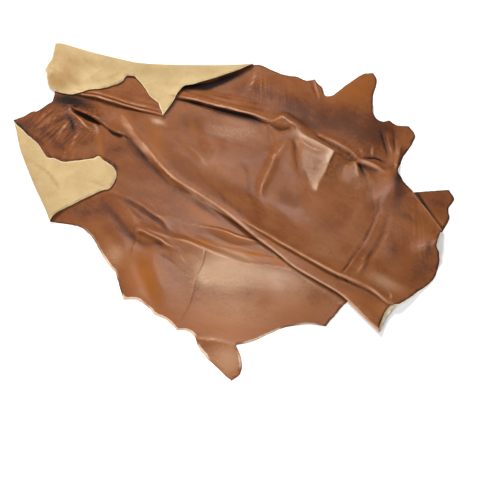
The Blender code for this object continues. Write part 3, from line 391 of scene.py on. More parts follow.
# Soft streaks of colour; many are painted shade in the shade of folds and flaps, and some are painted
# highlight. Columns: what they change, layer, width to the left and to the right, then the line's places
# and strengths
streaks = (
    # painted shade in the shade of the two folds under the turned edge, and the painted shadow that the top
    # flap's raised edge casts on the sheet
    ("wearAndShading", "sheet", 16, 24, ((-110, 514, 0), (-50, 500, -0.6), (50, 468, -0.8), (130, 436, -0.7),
        (180, 412, 0))),
    ("wearAndShading", "sheet", 26, 30, ((-260, 670, 0), (-215, 662, -2.2), (-130, 668, -3), (-40, 700, -2.6),
        (40, 748, -1.8), (100, 795, -0.8))),
    ("warm", "sheet", 30, 34, ((-200, 470, 0), (-182, 430, 0.5), (-165, 370, 0.5), (-150, 310, 0))),
    ("paleAndSheen", "sheet", 12, 22, ((-130, 410, 0), (-60, 404, 0.15), (0, 396, 0.2), (80, 384, 0.15),
        (150, 376, 0))),
    ("wearAndShading", "sheet", 10, 10, ((140, 780, 0), (130, 750, 0.2), (112, 675, 0.3), (92, 590, 0))),
    ("wearAndShading", "sheet", 14, 12, ((180, 770, 0), (178, 700, -0.25), (174, 600, -0.25), (172, 520, 0))),
    ("paleAndSheen", "sheet", 30, 14, ((118, 760, 0), (98, 690, 0.2), (75, 620, 0.2), (60, 580, 0))),
    ("wearAndShading", "sheet", 14, 20, ((66, 200, 0), (80, 160, -0.3), (100, 113, -0.45), (107, 60, -0.3),
        (108, 10, 0))),
    ("wearAndShading", "sheet", 6, 6, ((265, 280, 0), (250, 246, 0.6), (228, 212, 0.7), (212, 185, 0))),
    ("wearAndShading", "sheet", 6, 6, ((202, 125, 0), (188, 95, 0.7), (168, 55, 0.9), (156, 25, 0))),
    # the crowded upper left, with painted shade in its two deep pits
    ("wearAndShading", "sheet", 13, 13, ((-755, 503, 0), (-725, 485, -2.4), (-670, 450, -2.4), (-640, 430, -0.8),
        (-590, 385, -0.3), (-565, 362, -1.2), (-540, 350, -2), (-515, 338, 0))),
    ("wearAndShading", "sheet", 6, 6, ((-800, 545, 0), (-793, 525, 0.7), (-776, 490, 1), (-735, 443, 1.1),
        (-710, 408, 1.1), (-690, 385, 0.9), (-656, 352, 0.4), (-648, 372, 0.6), (-656, 402, 0.4),
        (-670, 420, 0))),
    ("tone", "sheet", 22, 36, ((-960, 430, 0), (-931, 402, -0.3), (-857, 333, -0.3), (-787, 254, -0.2),
        (-760, 200, 0))),
    ("tone", "sheet", 16, 20, ((-810, 520, 0), (-785, 450, -0.5), (-765, 400, -0.5), (-745, 340, 0))),
    ("wearAndShading", "sheet", 6, 6, ((-955, 415, 0), (-944, 431, 0.5), (-917, 472, 0.7), (-878, 519, 0.3))),
    ("wearAndShading", "sheet", 6, 6, ((-965, 375, 0), (-958, 392, 0.8), (-945, 412, 0))),
    ("wearAndShading", "sheet", 7, 6, ((-915, 415, 0), (-900, 437, 0.4), (-865, 484, 0.4), (-845, 510, 0))),
    ("wearAndShading", "sheet", 6, 6, ((-768, 305, 0), (-759, 322, 0.15), (-728, 368, 0.2), (-706, 398, 0))),
    ("wearAndShading", "sheet", 5, 6, ((-870, 300, 0), (-850, 340, 0.4), (-815, 400, 0.4), (-800, 430, 0))),
    ("wearAndShading", "sheet", 5, 6, ((-820, 300, 0), (-806, 350, 0.4), (-784, 400, 0))),
    ("wearAndShading", "sheet", 10, 12, ((-820, 495, 0), (-870, 445, 0.5), (-920, 405, 0.5), (-970, 370, 0))),
    ("wearAndShading", "sheet", 10, 12, ((-805, 460, 0), (-835, 415, 0.45), (-870, 370, 0.4), (-890, 330, 0))),
    ("wearAndShading", "sheet", 8, 10, ((-790, 440, 0), (-810, 395, 0.4), (-830, 350, 0.4), (-840, 310, 0))),
    ("wearAndShading", "sheet", 9, 9, ((-775, 280, 0), (-782, 240, 0.5), (-787, 190, 0.5))),
    ("wearAndShading", "sheet", 9, 9, ((-730, 270, 0), (-740, 235, 0.4), (-750, 190, 0.4))),
    ("warm", "sheet", 24, 24, ((-622, 400, 0), (-622, 340, 0.6), (-615, 260, 0.7), (-608, 190, 0.4))),
    # to the left of the long pleat: painted shade where it shades the sheet, warmer colour, and pale lines
    ("tone", "below", 30, 40, ((-450, 300, 0), (-370, 180, -0.15), (-290, 68, -0.25), (-190, -30, -0.12),
        (-75, -122, -0.1), (15, -192, 0))),
    ("wearAndShading", "below", 24, 28, ((-530, 410, 0), (-450, 290, -0.7), (-371, 190, -0.9), (-311, 125, -0.9),
        (-250, 65, -1.1), (-190, 5, -1), (-110, -80, -0.6), (-10, -165, -0.4), (60, -230, 0))),
    ("warm", "below", 50, 40, ((-250, 10, 0), (-170, -80, 0.5), (-80, -155, 0.6), (20, -235, 0.6),
        (100, -290, 0))),
    ("paleAndSheen", "sheet", 7, 8, ((100, -258, 0), (152, -297, 0.5), (197, -329, 0.7), (328, -440, 0.7),
        (459, -553, 0.8), (559, -642, 0.8), (639, -720, 0.6))),
    ("tone", "below", 26, 30, ((-175, -205, 0), (-120, -250, -0.5), (-60, -280, -0.4), (-20, -300, 0))),
    ("tone", "sheet", 8, 8, ((-510, 360, 0), (-490, 330, -1), (-470, 300, -0.8), (-455, 280, 0))),
    ("paleAndSheen", "sheet", 30, 40, ((-220, 310, 0), (-170, 250, 0.25), (-120, 190, 0.25), (-70, 130, 0))),
    # the facet, palest along its right side
    ("paleAndSheen", "sheet", 6, 50, ((512, 235, 0.2), (495, 200, 0.7), (455, 110, 0.6), (420, 30, 0.8),
        (410, 2, 0))),
    ("paleAndSheen", "sheet", 10, 30, ((300, 385, 0), (360, 335, 0.4), (430, 285, 0.5), (495, 235, 0.5),
        (520, 215, 0))),
    ("wearAndShading", "sheet", 5, 5, ((330, 330, 0), (380, 270, 0.6), (430, 235, 0.7), (490, 210, 0))),
    ("wearAndShading", "sheet", 5, 5, ((360, 260, 0), (400, 215, 0.5), (450, 190, 0.5), (480, 185, 0))),
    ("warm", "upper", 34, 30, ((80, -190, 0), (190, -275, 0.5), (290, -360, 0.6), (400, -430, 0.6),
        (540, -540, 0.5), (660, -640, 0.4))),
    # between the folds of the lower middle: warmer colour, painted shade along the valley, and pale lines
    # along the crests, worn and painted highlight
    ("warm", "below", 34, 40, ((-200, -220, 0), (-110, -270, 0.7), (0, -305, 1.1), (120, -340, 1.3),
        (240, -380, 1.2), (340, -430, 0))),
    ("wearAndShading", "below", 8, 9, ((-130, -240, 0), (-63, -283, -0.7), (22, -310, -1), (90, -326, -1),
        (162, -348, -1.2), (229, -360, -1.2), (280, -390, -0.8), (300, -405, 0))),
    ("wearAndShading", "below", 12, 12, ((40, -382, 0), (107, -388, 0.5), (174, -401, 0.6), (262, -414, 0.5),
        (340, -435, 0))),
    ("wearAndShading", "below", 10, 16, ((-160, -275, 0), (-110, -300, 0.5), (-50, -335, 0.7), (0, -360, 0.5),
        (80, -390, 0))),
    # the right side
    ("tone", "sheet", 55, 45, ((845, 300, 0), (835, 220, -0.6), (812, 130, -0.9), (798, 40, -0.7),
        (790, -60, -0.3), (775, -120, 0))),
    ("wearAndShading", "sheet", 7, 7, ((822, 330, 0), (815, 270, 0.7), (800, 180, 0.7), (790, 110, 0))),
    ("wearAndShading", "sheet", 10, 10, ((695, 10, 0), (685, -50, 0.3), (672, -100, 0))),
    ("wearAndShading", "sheet", 12, 14, ((640, -310, 0), (610, -380, 0.2), (575, -450, 0.2), (550, -500, 0))),
    ("wearAndShading", "sheet", 12, 10, ((735, -60, 0), (728, -150, -0.5), (700, -240, -0.6), (640, -350, -0.6),
        (600, -450, -0.4), (590, -490, 0))),
    ("wearAndShading", "sheet", 10, 10, ((760, -80, 0), (752, -160, 0.4), (722, -255, 0.5), (665, -355, 0.4),
        (630, -440, 0))),
    # painted shadow along the tab's pleat line, and a pale line on the tab beside it
    ("wearAndShading", "tab", 12, 13, ((868, 20, -1), (901, -40, -2), (932, -102, -2.2), (970, -178, -2),
        (992, -215, -1.2))),
    ("wearAndShading", "tab", 6, 6, ((900, -15, 0), (924, -50, 0.6), (958, -112, 0.8), (990, -180, 0.6),
        (1005, -205, 0))),
    # creases of the turned flaps, painted darker as shade, one with a paler line beside it
    ("wearAndShading", "leftFlap", 6, 8, ((-952, 190, 0), (-920, 165, -0.8), (-875, 132, -1), (-838, 98, -1.2),
        (-806, 56, -0.8), (-790, 30, 0))),
    ("wearAndShading", "topFlap", 5, 7, ((-900, 752, 0), (-893, 732, -1.4), (-882, 692, -1.8), (-872, 655, -1.4),
        (-864, 632, 0))),
    ("wearAndShading", "topFlap", 5, 6, ((-864, 705, 0), (-857, 680, -0.9), (-848, 650, -1), (-838, 620, 0))),
    ("wearAndShading", "topFlap", 5, 5, ((-908, 730, 0), (-902, 705, -0.7), (-896, 668, 0))),
    ("wearAndShading", "topFlap", 4, 5, ((-912, 798, 0), (-890, 775, -0.6), (-868, 760, -0.7), (-842, 752, 0))),
    ("wearAndShading", "topFlap", 4, 5, ((-932, 822, 0), (-915, 796, -0.5), (-900, 770, 0))),
    ("wearAndShading", "topFlap", 6, 6, ((-890, 735, 0), (-872, 700, 0.8), (-862, 670, 0.7), (-854, 645, 0))),
    ("wearAndShading", "topFlap", 12, 14, ((-720, 690, 0), (-660, 705, -0.35), (-590, 735, -0.35), (-540, 765, 0))),
    # small marks of the lower middle
    ("tone", "sheet", 4, 4, ((97, -500, 0), (99, -517, -0.8), (102, -530, -0.2), (100, -543, -0.9),
        (103, -568, 0))),
    ("tone", "sheet", 4, 4, ((85, -630, 0), (85, -643, -0.9), (94, -655, -0.2), (88, -672, -1),
        (92, -690, -0.3), (86, -706, -0.7), (88, -720, 0))),
    ("tone", "sheet", 5, 4, ((43, -440, 0), (42, -455, -0.4), (46, -480, -0.2), (43, -502, -0.5),
        (45, -515, 0))),
    ("tone", "sheet", 4, 5, ((-130, -520, 0), (-119, -515, -0.9), (-78, -487, -0.8), (-66, -480, 0))),
    ("tone", "sheet", 4, 4, ((-122, -500, 0), (-114, -495, -0.8), (-85, -474, -0.6), (-76, -470, 0))),
    ("tone", "sheet", 4, 5, ((-130, -543, 0), (-100, -544, -0.4), (-46, -548, -0.5), (24, -550, 0))),
    ("tone", "sheet", 5, 5, ((10, -625, 0), (30, -618, -0.5), (60, -613, 0))),
    # painted shadow along the left flap's upper edge
    ("wearAndShading", "sheet", 8, 10, ((-512, 60, 0), (-517, 95, -0.6), (-536, 152, -1), (-592, 199, -1.2),
        (-619, 220, -1.2), (-650, 206, -1.2), (-705, 197, -1.2), (-778, 188, -1.2), (-820, 209, -1.2),
        (-861, 220, -1.2), (-911, 300, -1.2), (-964, 346, -1.2), (-1038, 420, -1))),
    # the tail: a painted highlight along its ridge, and painted shade below it
    ("wearAndShading", "sheet", 14, 12, ((-140, -758, 0.2), (-80, -770, 0.7), (-20, -780, 0.7), (40, -790, 0.3))),
    ("tone", "sheet", 12, 16, ((-120, -800, 0), (-70, -806, -0.4), (0, -812, -0.3), (50, -815, 0))),
)


def easeIn(share):
    # From 0 to 1 with level ends: the share squared, times three less twice the share
    share = np.clip(share, 0, 1)
    return share ** 2 * (3 - 2 * share)


def toMetres(rows, columns=3):
    # A table's rows with their first columns turned from millimetres into metres
    rows = np.array(rows, float)
    rows[:, :columns] /= 1000
    return rows


def smoothRows(rows, steps=8):
    # A Catmull-Rom curve through a table's rows, every column alike
    rows = np.asarray(rows, float)
    ends = np.vstack([2 * rows[0] - rows[1], rows, 2 * rows[-1] - rows[-2]])
    u = np.linspace(0, 1, steps, endpoint=False)[None, :, None]
    a, b, c, d = (ends[i:len(ends) - 3 + i, None, :] for i in range(4))
    curve = 0.5 * (2 * b + (c - a) * u + (2 * a - 5 * b + 4 * c - d) * u ** 2
                   + (3 * b - a - 3 * c + d) * u ** 3)
    return np.vstack([curve.reshape(-1, rows.shape[1]), rows[-1]])


def evenSteps(curve, step):
    # The curve's points moved to even steps along it
    length = np.concatenate([[0], np.cumsum(np.hypot(*np.diff(curve, axis=0).T))])
    even = np.linspace(0, length[-1], max(2, round(length[-1] / step) + 1))
    return np.column_stack([np.interp(even, length, column) for column in curve.T])


def softNoise(places, size, seed):
    # Uneven bumps about one size across, from -1 to 1: random heights at the corners of a square
    # grid, blended across each square with an ease
    count = 64
    corners = np.random.default_rng(seed).uniform(-1, 1, (count, count))
    turned = places @ np.array([[0.8, 0.6], [-0.6, 0.8]]) / size + 31.7
    cell = np.floor(turned).astype(int)
    u, v = easeIn(turned - cell).T
    i, j = cell.T % count
    nextI, nextJ = (i + 1) % count, (j + 1) % count
    near = corners[i, j] * (1 - u) + corners[nextI, j] * u
    far = corners[i, nextJ] * (1 - u) + corners[nextI, nextJ] * u
    return near * (1 - v) + far * v


def noiseSum(places, sizes, seed):
    # The sum of several bumpy fields, each of its own size and height
    return sum(height * softNoise(places, size, seed + n) for n, (size, height) in enumerate(sizes))


def foldFrame(rows, swing=0.0):
    # A fold's smooth line as a graph: how far it stands off its chord, along the chord. With a
    # swing, the line turns away over its first end, so that it folds nothing there
    curve = smoothRows(rows)
    start = curve[0, :2]
    along = (curve[-1, :2] - start) / np.hypot(*(curve[-1, :2] - start))
    across = np.array([along[1], -along[0]])
    reach = np.maximum.accumulate((curve[:, :2] - start) @ along)
    off = (curve[:, :2] - start) @ across
    if swing:
        curve = np.vstack([curve[0], curve])
        reach = np.append(-0.1 * swing, reach)
        off = np.append(off[0] + swing, off)
    return {"start": start, "along": along, "across": across, "reach": reach, "off": off,
            "columns": curve[:, 2:].T}


def foldPlaces(fold, points):
    # How far each point lies beyond the fold's line, and the table's other columns there
    rel = points - fold["start"]
    s = rel @ fold["along"]
    beyond = rel @ fold["across"] - np.interp(s, fold["reach"], fold["off"])
    return beyond, [np.interp(s, fold["reach"], column) for column in fold["columns"]]


def pleatMeasures(columns):
    # A pleat's radius, run, turn in radians and rise, kept in bounds where its curve overshoots
    radius, run, rise, turn = columns
    return radius, np.maximum(run, 0), np.radians(np.clip(turn, 0, 180)), rise


def layPleat(fold, points):
    # Across the pleat a point goes round the crest's arc, down the straight run, round the back
    # arc, and then on level. Behind the crest the sheet rises to it with an ease. Also how far it
    # is on the upper layer, its tones across the crest (wear, painted light and painted shade), and
    # whether it is on the lower one
    beyond, columns = foldPlaces(fold, points)
    radius, run, turn, rise = pleatMeasures(columns)
    back = hide["backBend"]
    top = (radius + back) * (1 - np.cos(turn)) + run * np.sin(turn)
    way = beyond + radius
    first = np.clip(way, 0, radius * turn) / radius
    straight = np.clip(way - radius * turn, 0, run)
    second = turn - np.clip(way - radius * turn - run, 0, back * turn) / back
    rest = np.maximum(way - (radius + back) * turn - run, 0)
    across = (radius * np.sin(first) + straight * np.cos(turn)
              + back * (np.sin(turn) - np.sin(second)) + rest - radius)
    drop = (radius * (1 - np.cos(first)) + straight * np.sin(turn)
            + back * (np.cos(second) - np.cos(turn)))
    stack = np.maximum(-run * np.cos(turn), 0) + back
    folded = way > 0
    lift = np.where(folded, top - drop, top * (1 - easeIn((-way - stack) / rise)))
    place = np.where(folded, across, beyond)
    upper = np.where(folded, 0, easeIn(-way / hide["crestEase"]))
    mark = easeIn(turn / hide["pleatToneTurn"]) * np.interp(way, *toMetres(pleatTones, 1).T, 0, 0)
    return points + (place - beyond)[:, None] * fold["across"], lift, upper, mark, way > radius


def layTurn(fold, points):
    # A point beyond the line goes half round the roll and then straight back over the sheet. The
    # last number is how far it is on the flap, from 0 to 1
    beyond, (radius, stand) = foldPlaces(fold, points)
    way = np.maximum(beyond + radius, 0)
    angle = np.minimum(way / radius, math.pi)
    back = np.maximum(way - math.pi * radius, 0)
    place = np.where(way > 0, radius * np.sin(angle) - radius - back, beyond)
    settle = easeIn(back / hide["flapSettle"]) * (2 * radius - hide["flapGap"])
    lift = radius * (1 - np.cos(angle)) - settle + stand * back
    flap = easeIn(back / hide["flapEase"])
    return points + (place - beyond)[:, None] * fold["across"], lift, flap


def unlayPleat(fold, points):
    # From a place on the lower side of a pleat to the flat sheet
    _, columns = foldPlaces(fold, points)
    radius, run, turn, _ = pleatMeasures(columns)
    hidden = (radius + hide["backBend"]) * (turn - np.sin(turn)) + run * (1 - np.cos(turn))
    return points + hidden[:, None] * fold["across"]


def unlayTurned(fold, points):
    # From a place on a layer that lies back under or over its fold to the flat sheet
    beyond, columns = foldPlaces(fold, points)
    return points + ((math.pi - 2) * columns[0] - 2 * beyond)[:, None] * fold["across"]


mainFold = foldFrame(toMetres(mainPleat, 5))
tabFold = foldFrame(toMetres(tabPleat, 5))
topFold = foldFrame(toMetres(topTurn), hide["flapSwing"])
leftRows = toMetres(leftTurn)
leftRows[:, :2] = unlayPleat(mainFold, leftRows[:, :2])
leftFold = foldFrame(leftRows)

# From a place on each layer of the laid hide to the flat sheet
unlay = {
    "upper": lambda p: p,
    "tab": lambda p: unlayPleat(tabFold, p),
    "turned": lambda p: unlayTurned(mainFold, p),
    "lower": lambda p: unlayPleat(mainFold, p),
    "topFlap": lambda p: unlayTurned(topFold, p),
    "leftFlap": lambda p: unlayTurned(leftFold, unlayPleat(mainFold, p)),
}


def shapeAcross(shape):
    # A fold's shape across as even samples, its corners rounded off. A shape by name is followed by
    # its width to the left and to the right
    if isinstance(shape[0], str):
        name, left, right = shape
        shape = [(way * (left if way < 0 else right), share) for way, share in across[name]]
    ways, shares = toMetres(shape, 1).T
    pad = 3 * hide["rounding"]
    even = np.arange(ways[0] - pad, ways[-1] + pad, hide["rounding"] / 2)
    kernel = np.array([1, 2, 3, 2, 1]) / 9
    return even, np.convolve(np.interp(even, ways, shares, 0, 0), kernel, "same")


def foldRise(line, shape, points, tones=((-1, 0), (1, 0)), wearAndShading=0):
    # Height over each point: the height at the nearest place of the fold's line, times the share that
    # its shape across gives there. Also that share of its greatest height, and how it is painted there:
    # its tones across the line, or a bell of the line's width along the crest, paler on a ridge (worn and
    # a painted highlight) and darker in a trough (a painted shade)
    line = smoothRows(line, 6)
    ways, shares = shapeAcross(shape)
    tones = toMetres(tones, 1)
    height, share, mark = np.zeros((3, len(points)))
    reach = max(-ways[0], ways[-1], -tones[0, 0], tones[-1, 0])
    low, high = line[:, :2].min(axis=0) - reach, line[:, :2].max(axis=0) + reach
    near = np.flatnonzero(((points > low) & (points < high)).all(axis=1))
    if not len(near):
        return height, share, mark
    start, way = line[:-1, :2], np.diff(line[:, :2], axis=0)
    rel = points[near, None, :] - start
    t = np.clip((rel * way).sum(axis=2) / (way ** 2).sum(axis=1), 0, 1)
    off = rel - t[:, :, None] * way
    far = np.hypot(off[:, :, 0], off[:, :, 1])
    best = far.argmin(axis=1)
    row = np.arange(len(near))
    side = way[best, 0] * off[row, best, 1] - way[best, 1] * off[row, best, 0]
    distance = far[row, best] * np.where(side > 0, -1, 1)
    sign = np.sign(line[np.abs(line[:, 2]).argmax(), 2])
    rise = line[best, 2] + t[row, best] * (line[best + 1, 2] - line[best, 2])
    crest = sign * np.maximum(sign * rise, 0)
    height[near] = crest * np.interp(distance, ways, shares)
    crest /= np.abs(line[:, 2]).max()
    share[near] = np.abs(crest * np.interp(distance, ways, shares))
    mark[near] = (np.abs(crest) * np.interp(distance, *tones.T, 0, 0)
                  + wearAndShading * crest * np.exp(-(distance / hide["lineMarkWidth"]) ** 2))
    return height, share, mark


def facetRise(corners, falls, points):
    # Height of a flat facet: the corners' heights blended inside it, and beyond each side the height
    # at the nearest place of that side, falling away with an ease. Also how far it is inside
    corners, falls = toMetres(corners), np.divide(falls, 1000)
    a, b, c = corners[:, :2]
    whole = np.linalg.det([b - a, c - a])
    pairs = ((b, c), (c, a), (a, b))
    shares = np.column_stack([np.linalg.det(np.stack([near - points, far - points], axis=1))
                              for near, far in pairs]) / whole
    nearest = np.full(len(points), np.inf)
    height = np.zeros(len(points))
    for start, end, fall in zip(corners, np.roll(corners, -1, axis=0), falls):
        way = end[:2] - start[:2]
        t = np.clip((points - start[:2]) @ way / (way @ way), 0, 1)
        far = np.hypot(*(points - start[:2] - t[:, None] * way).T)
        side = (start[2] + t * (end[2] - start[2])) * easeIn(1 - far / fall) ** hide["facetFall"]
        height = np.where(far < nearest, side, height)
        nearest = np.minimum(nearest, far)
    inside = (shares >= 0).all(axis=1)
    rim = easeIn(1 - nearest / hide["facetRim"])
    return np.where(inside, shares @ corners[:, 2], height), np.where(inside, 1, rim)


def softPatches(points, table):
    # A sum of soft oval patches, each falling off as a bell. Columns: x, y, half length, half width,
    # strength, bearing
    total = np.zeros(len(points))
    for x, y, length, width, strength, bearing in table:
        turn = math.radians(bearing)
        rel = points - (x, y)
        u = (rel[:, 0] * math.cos(turn) + rel[:, 1] * math.sin(turn)) / length
        v = (rel[:, 1] * math.cos(turn) - rel[:, 0] * math.sin(turn)) / width
        total += strength * np.exp(-1.5 * (u ** 2 + v ** 2))
    return total


def pressDown(height, press):
    # Nothing goes below the surface, and what comes near it lies flat on it: zero below it, the
    # height's square over four times the press near it, and the height less the press above
    soft = height ** 2 / (4 * press)
    return np.where(height <= 0, 0, np.where(height < 2 * press, soft, height - press))


def layHide(flat, edgeWay=None):
    # The folded and laid place of each point of the flat sheet's grain side: the two edges are
    # turned over, the two pleats folded, and the ridges and swells lift what lies over them. Also
    # what the leather's look needs at each point; its streaks only when the way to the cut is given
    points, liftTop, topFlap = layTurn(topFold, flat)
    points, liftLeft, leftFlap = layTurn(leftFold, points)
    points, liftMain, upper, crest, below = layPleat(mainFold, points)
    points, liftTab, _, tabCrest, tabBelow = layPleat(tabFold, points)
    layers = {"upper": upper, "topFlap": topFlap, "leftFlap": leftFlap, "below": below, "tab": tabBelow,
              "sheet": (1 - topFlap) * (1 - leftFlap)}
    rise = (hide["restLevel"] + softPatches(points, toMetres(swells, 5))
            + noiseSum(points, hide["waves"], seeds["waves"]))
    size, way = hide["wander"]
    strayed = points + way * np.column_stack([softNoise(points, size, seed) for seed in seeds["wander"]])
    uneven = 1 + hide["uneven"] * softNoise(points, size, seeds["uneven"])
    shift = np.zeros_like(points)
    fine, paleAndSheen = np.zeros((2, len(points)))
    wearAndShading = crest + hide["tabToneShare"] * tabCrest
    for corners, falls, paler in facets:
        height, inside = facetRise(corners, falls, strayed)
        rise += height
        paleAndSheen += paler * inside
    for fold in folds:
        more = {key: fold[key] for key in ("tones", "wearAndShading") if key in fold}
        height, share, mark = foldRise(toMetres(fold["line"]), fold["shape"], strayed, **more)
        mask = layers.get(fold["layer"], 1)
        if fold["layer"] == "ground":
            rise += height
        else:
            fine += mask * height
        wearAndShading += mask * uneven * mark
        if "lean" in fold:
            shift += (mask * share)[:, None] * np.divide(fold["lean"], 1000)
    for layer, left, right, line in creases:
        height, _, mark = foldRise(toMetres(line), ("sharp", left, right), strayed,
                                   wearAndShading=hide["creaseTone"])
        fine += layers[layer] * uneven * height
        wearAndShading += layers[layer] * uneven * mark
    rise = pressDown(pressDown(rise, hide["press"]) + fine, hide["finePress"])
    paint = {"wearAndShading": wearAndShading, "paleAndSheen": paleAndSheen}
    if edgeWay is not None:
        curl = 0.5 + 0.5 * softNoise(flat, hide["curlSize"], seeds["curl"])
        rise += hide["edgeLift"] * curl ** 2 * np.exp(-edgeWay / hide["edgeCurl"])
        for name, layer, left, right, line in streaks:
            band, _, _ = foldRise(toMetres(line, 2), ("soft", left, right), strayed)
            paint[name] = paint.get(name, 0) + layers.get(layer, 1) * uneven * band
    place = points + shift - hide["centre"]
    height = rise + liftTop + liftLeft + liftMain + liftTab + hide["thickness"]
    return np.column_stack([place, height]), paint


def cutLine():
    # The cut edge of the flat hide: each run in even steps, the next run's start joined on, and
    # the whole line pushed in and out a little, as a knife leaves it
    runs = [unlay[layer](smoothRows(toMetres(rows), 12)) for layer, rows in cutEdge]
    parts = []
    for run, following in zip(runs, runs[1:] + runs[:1]):
        parts.append(evenSteps(run, hide["edgeStep"])[:-1])
        if np.hypot(*(following[0] - run[-1])) > hide["edgeStep"] / 4:
            parts.append(evenSteps(np.vstack([run[-1], following[0]]), hide["edgeStep"])[:-1])
    line = np.vstack(parts)
    way = np.roll(line, -1, axis=0) - np.roll(line, 1, axis=0)
    outward = np.column_stack([way[:, 1], -way[:, 0]]) / np.hypot(*way.T)[:, None]
    return line + noiseSum(line, hide["edgeWander"], seeds["cut"])[:, None] * outward


def insideLine(line, points):
    # True where a point lies inside the closed line: it looks across an odd number of its edges
    a, b = line, np.roll(line, -1, axis=0)
    x, y = points[:, 0, None], points[:, 1, None]
    spans = (a[:, 1] > y) != (b[:, 1] > y)
    rise = np.where(b[:, 1] == a[:, 1], 1, b[:, 1] - a[:, 1])
    cross = a[:, 0] + (y - a[:, 1]) * (b[:, 0] - a[:, 0]) / rise
    return (spans & (x < cross)).sum(axis=1) % 2 == 1


def inPieces(work, points, size=4000):
    # The work done on a few thousand points at a time
    return np.concatenate([work(points[k:k + size]) for k in range(0, len(points), size)])


def wayToEdge(line, points):
    # Distance from each point to the nearest point of the cut edge
    def nearest(some):
        apart = ((some ** 2).sum(axis=1)[:, None] + (line ** 2).sum(axis=1) - 2 * some @ line.T)
        return np.sqrt(np.maximum(apart.min(axis=1), 0))
    return inPieces(nearest, points)


def bendAt(points, half):
    # How far the middle of a step across each point stands off the step's chord, the most of the
    # three ways of the triangular field
    middle = layHide(points)[0]
    most = np.zeros(len(points))
    for turn in (0, math.pi / 3, 2 * math.pi / 3):
        step = half * np.array([math.cos(turn), math.sin(turn)])
        ends = (layHide(points + step)[0] + layHide(points - step)[0]) / 2
        most = np.maximum(most, np.linalg.norm(ends - middle, axis=1))
    return most


def fieldPoints(line):
    # A triangular field over the flat hide, with whole-number places counted in quarter steps. Where
    # the sheet bends more, the points half a step away are added, and then those a quarter away
    unit = hide["broadStep"] / 4
    axes = unit * np.array([[1, 0], [0.5, math.sqrt(3) / 2]])
    span = hide["fieldSpan"] / hide["broadStep"]
    i, j = np.meshgrid(np.arange(-span, span), np.arange(-span * 0.6, span * 0.6))
    places = 4 * np.column_stack([i.ravel(), j.ravel()]).astype(int)
    points = places @ axes
    box = ((points > line.min(axis=0)) & (points < line.max(axis=0))).all(axis=1)
    places = places[box]
    places = places[inPieces(lambda p: insideLine(line, p), places @ axes)]
    ring = np.array([(1, 0), (0, 1), (-1, 1), (-1, 0), (0, -1), (1, -1)])
    steps = np.full(len(places), 4)
    for reach, limit in zip((2, 1), hide["bendLimits"]):
        some = places[steps == 2 * reach]
        bent = some[bendAt(some @ axes, reach * unit) > limit]
        added = (bent[:, None, :] + reach * ring).reshape(-1, 2)
        fresh = np.unique(np.vstack([bent, added]), axis=0)
        print("  step", round(reach * unit * 1000, 1), "mm:", len(fresh), "points")
        places, first = np.unique(np.vstack([fresh, places]), axis=0, return_index=True)
        steps = np.concatenate([np.full(len(fresh), reach), steps])[first]
    points = places @ axes
    away = wayToEdge(line, points)
    # Points closer to the cut than about half their own step would only make slivers
    keep = inPieces(lambda p: insideLine(line, p), points) & (away > 0.45 * steps * unit)
    return points[keep]


def flatSheet():
    # Points and triangles of the flat, unfolded sheet
    line = cutLine()
    field = fieldPoints(line)
    count = np.arange(len(line))
    rim = np.column_stack([count, np.roll(count, -1)])
    points = np.vstack([line, field])
    filled = delaunay_2d_cdt([Vector(p) for p in points], rim.tolist(), [], 1, 1e-7)
    return np.array(filled[0]), np.array(filled[2]), line


def addNumbers(mesh, name, values):
    # One number, or one place, at each point of the mesh, for the materials to read
    kind = "FLOAT_VECTOR" if values.ndim == 2 else "FLOAT"
    field = mesh.attributes.new(name, kind, "POINT")
    field.data.foreach_set("vector" if values.ndim == 2 else "value", values.astype(np.float32).ravel())


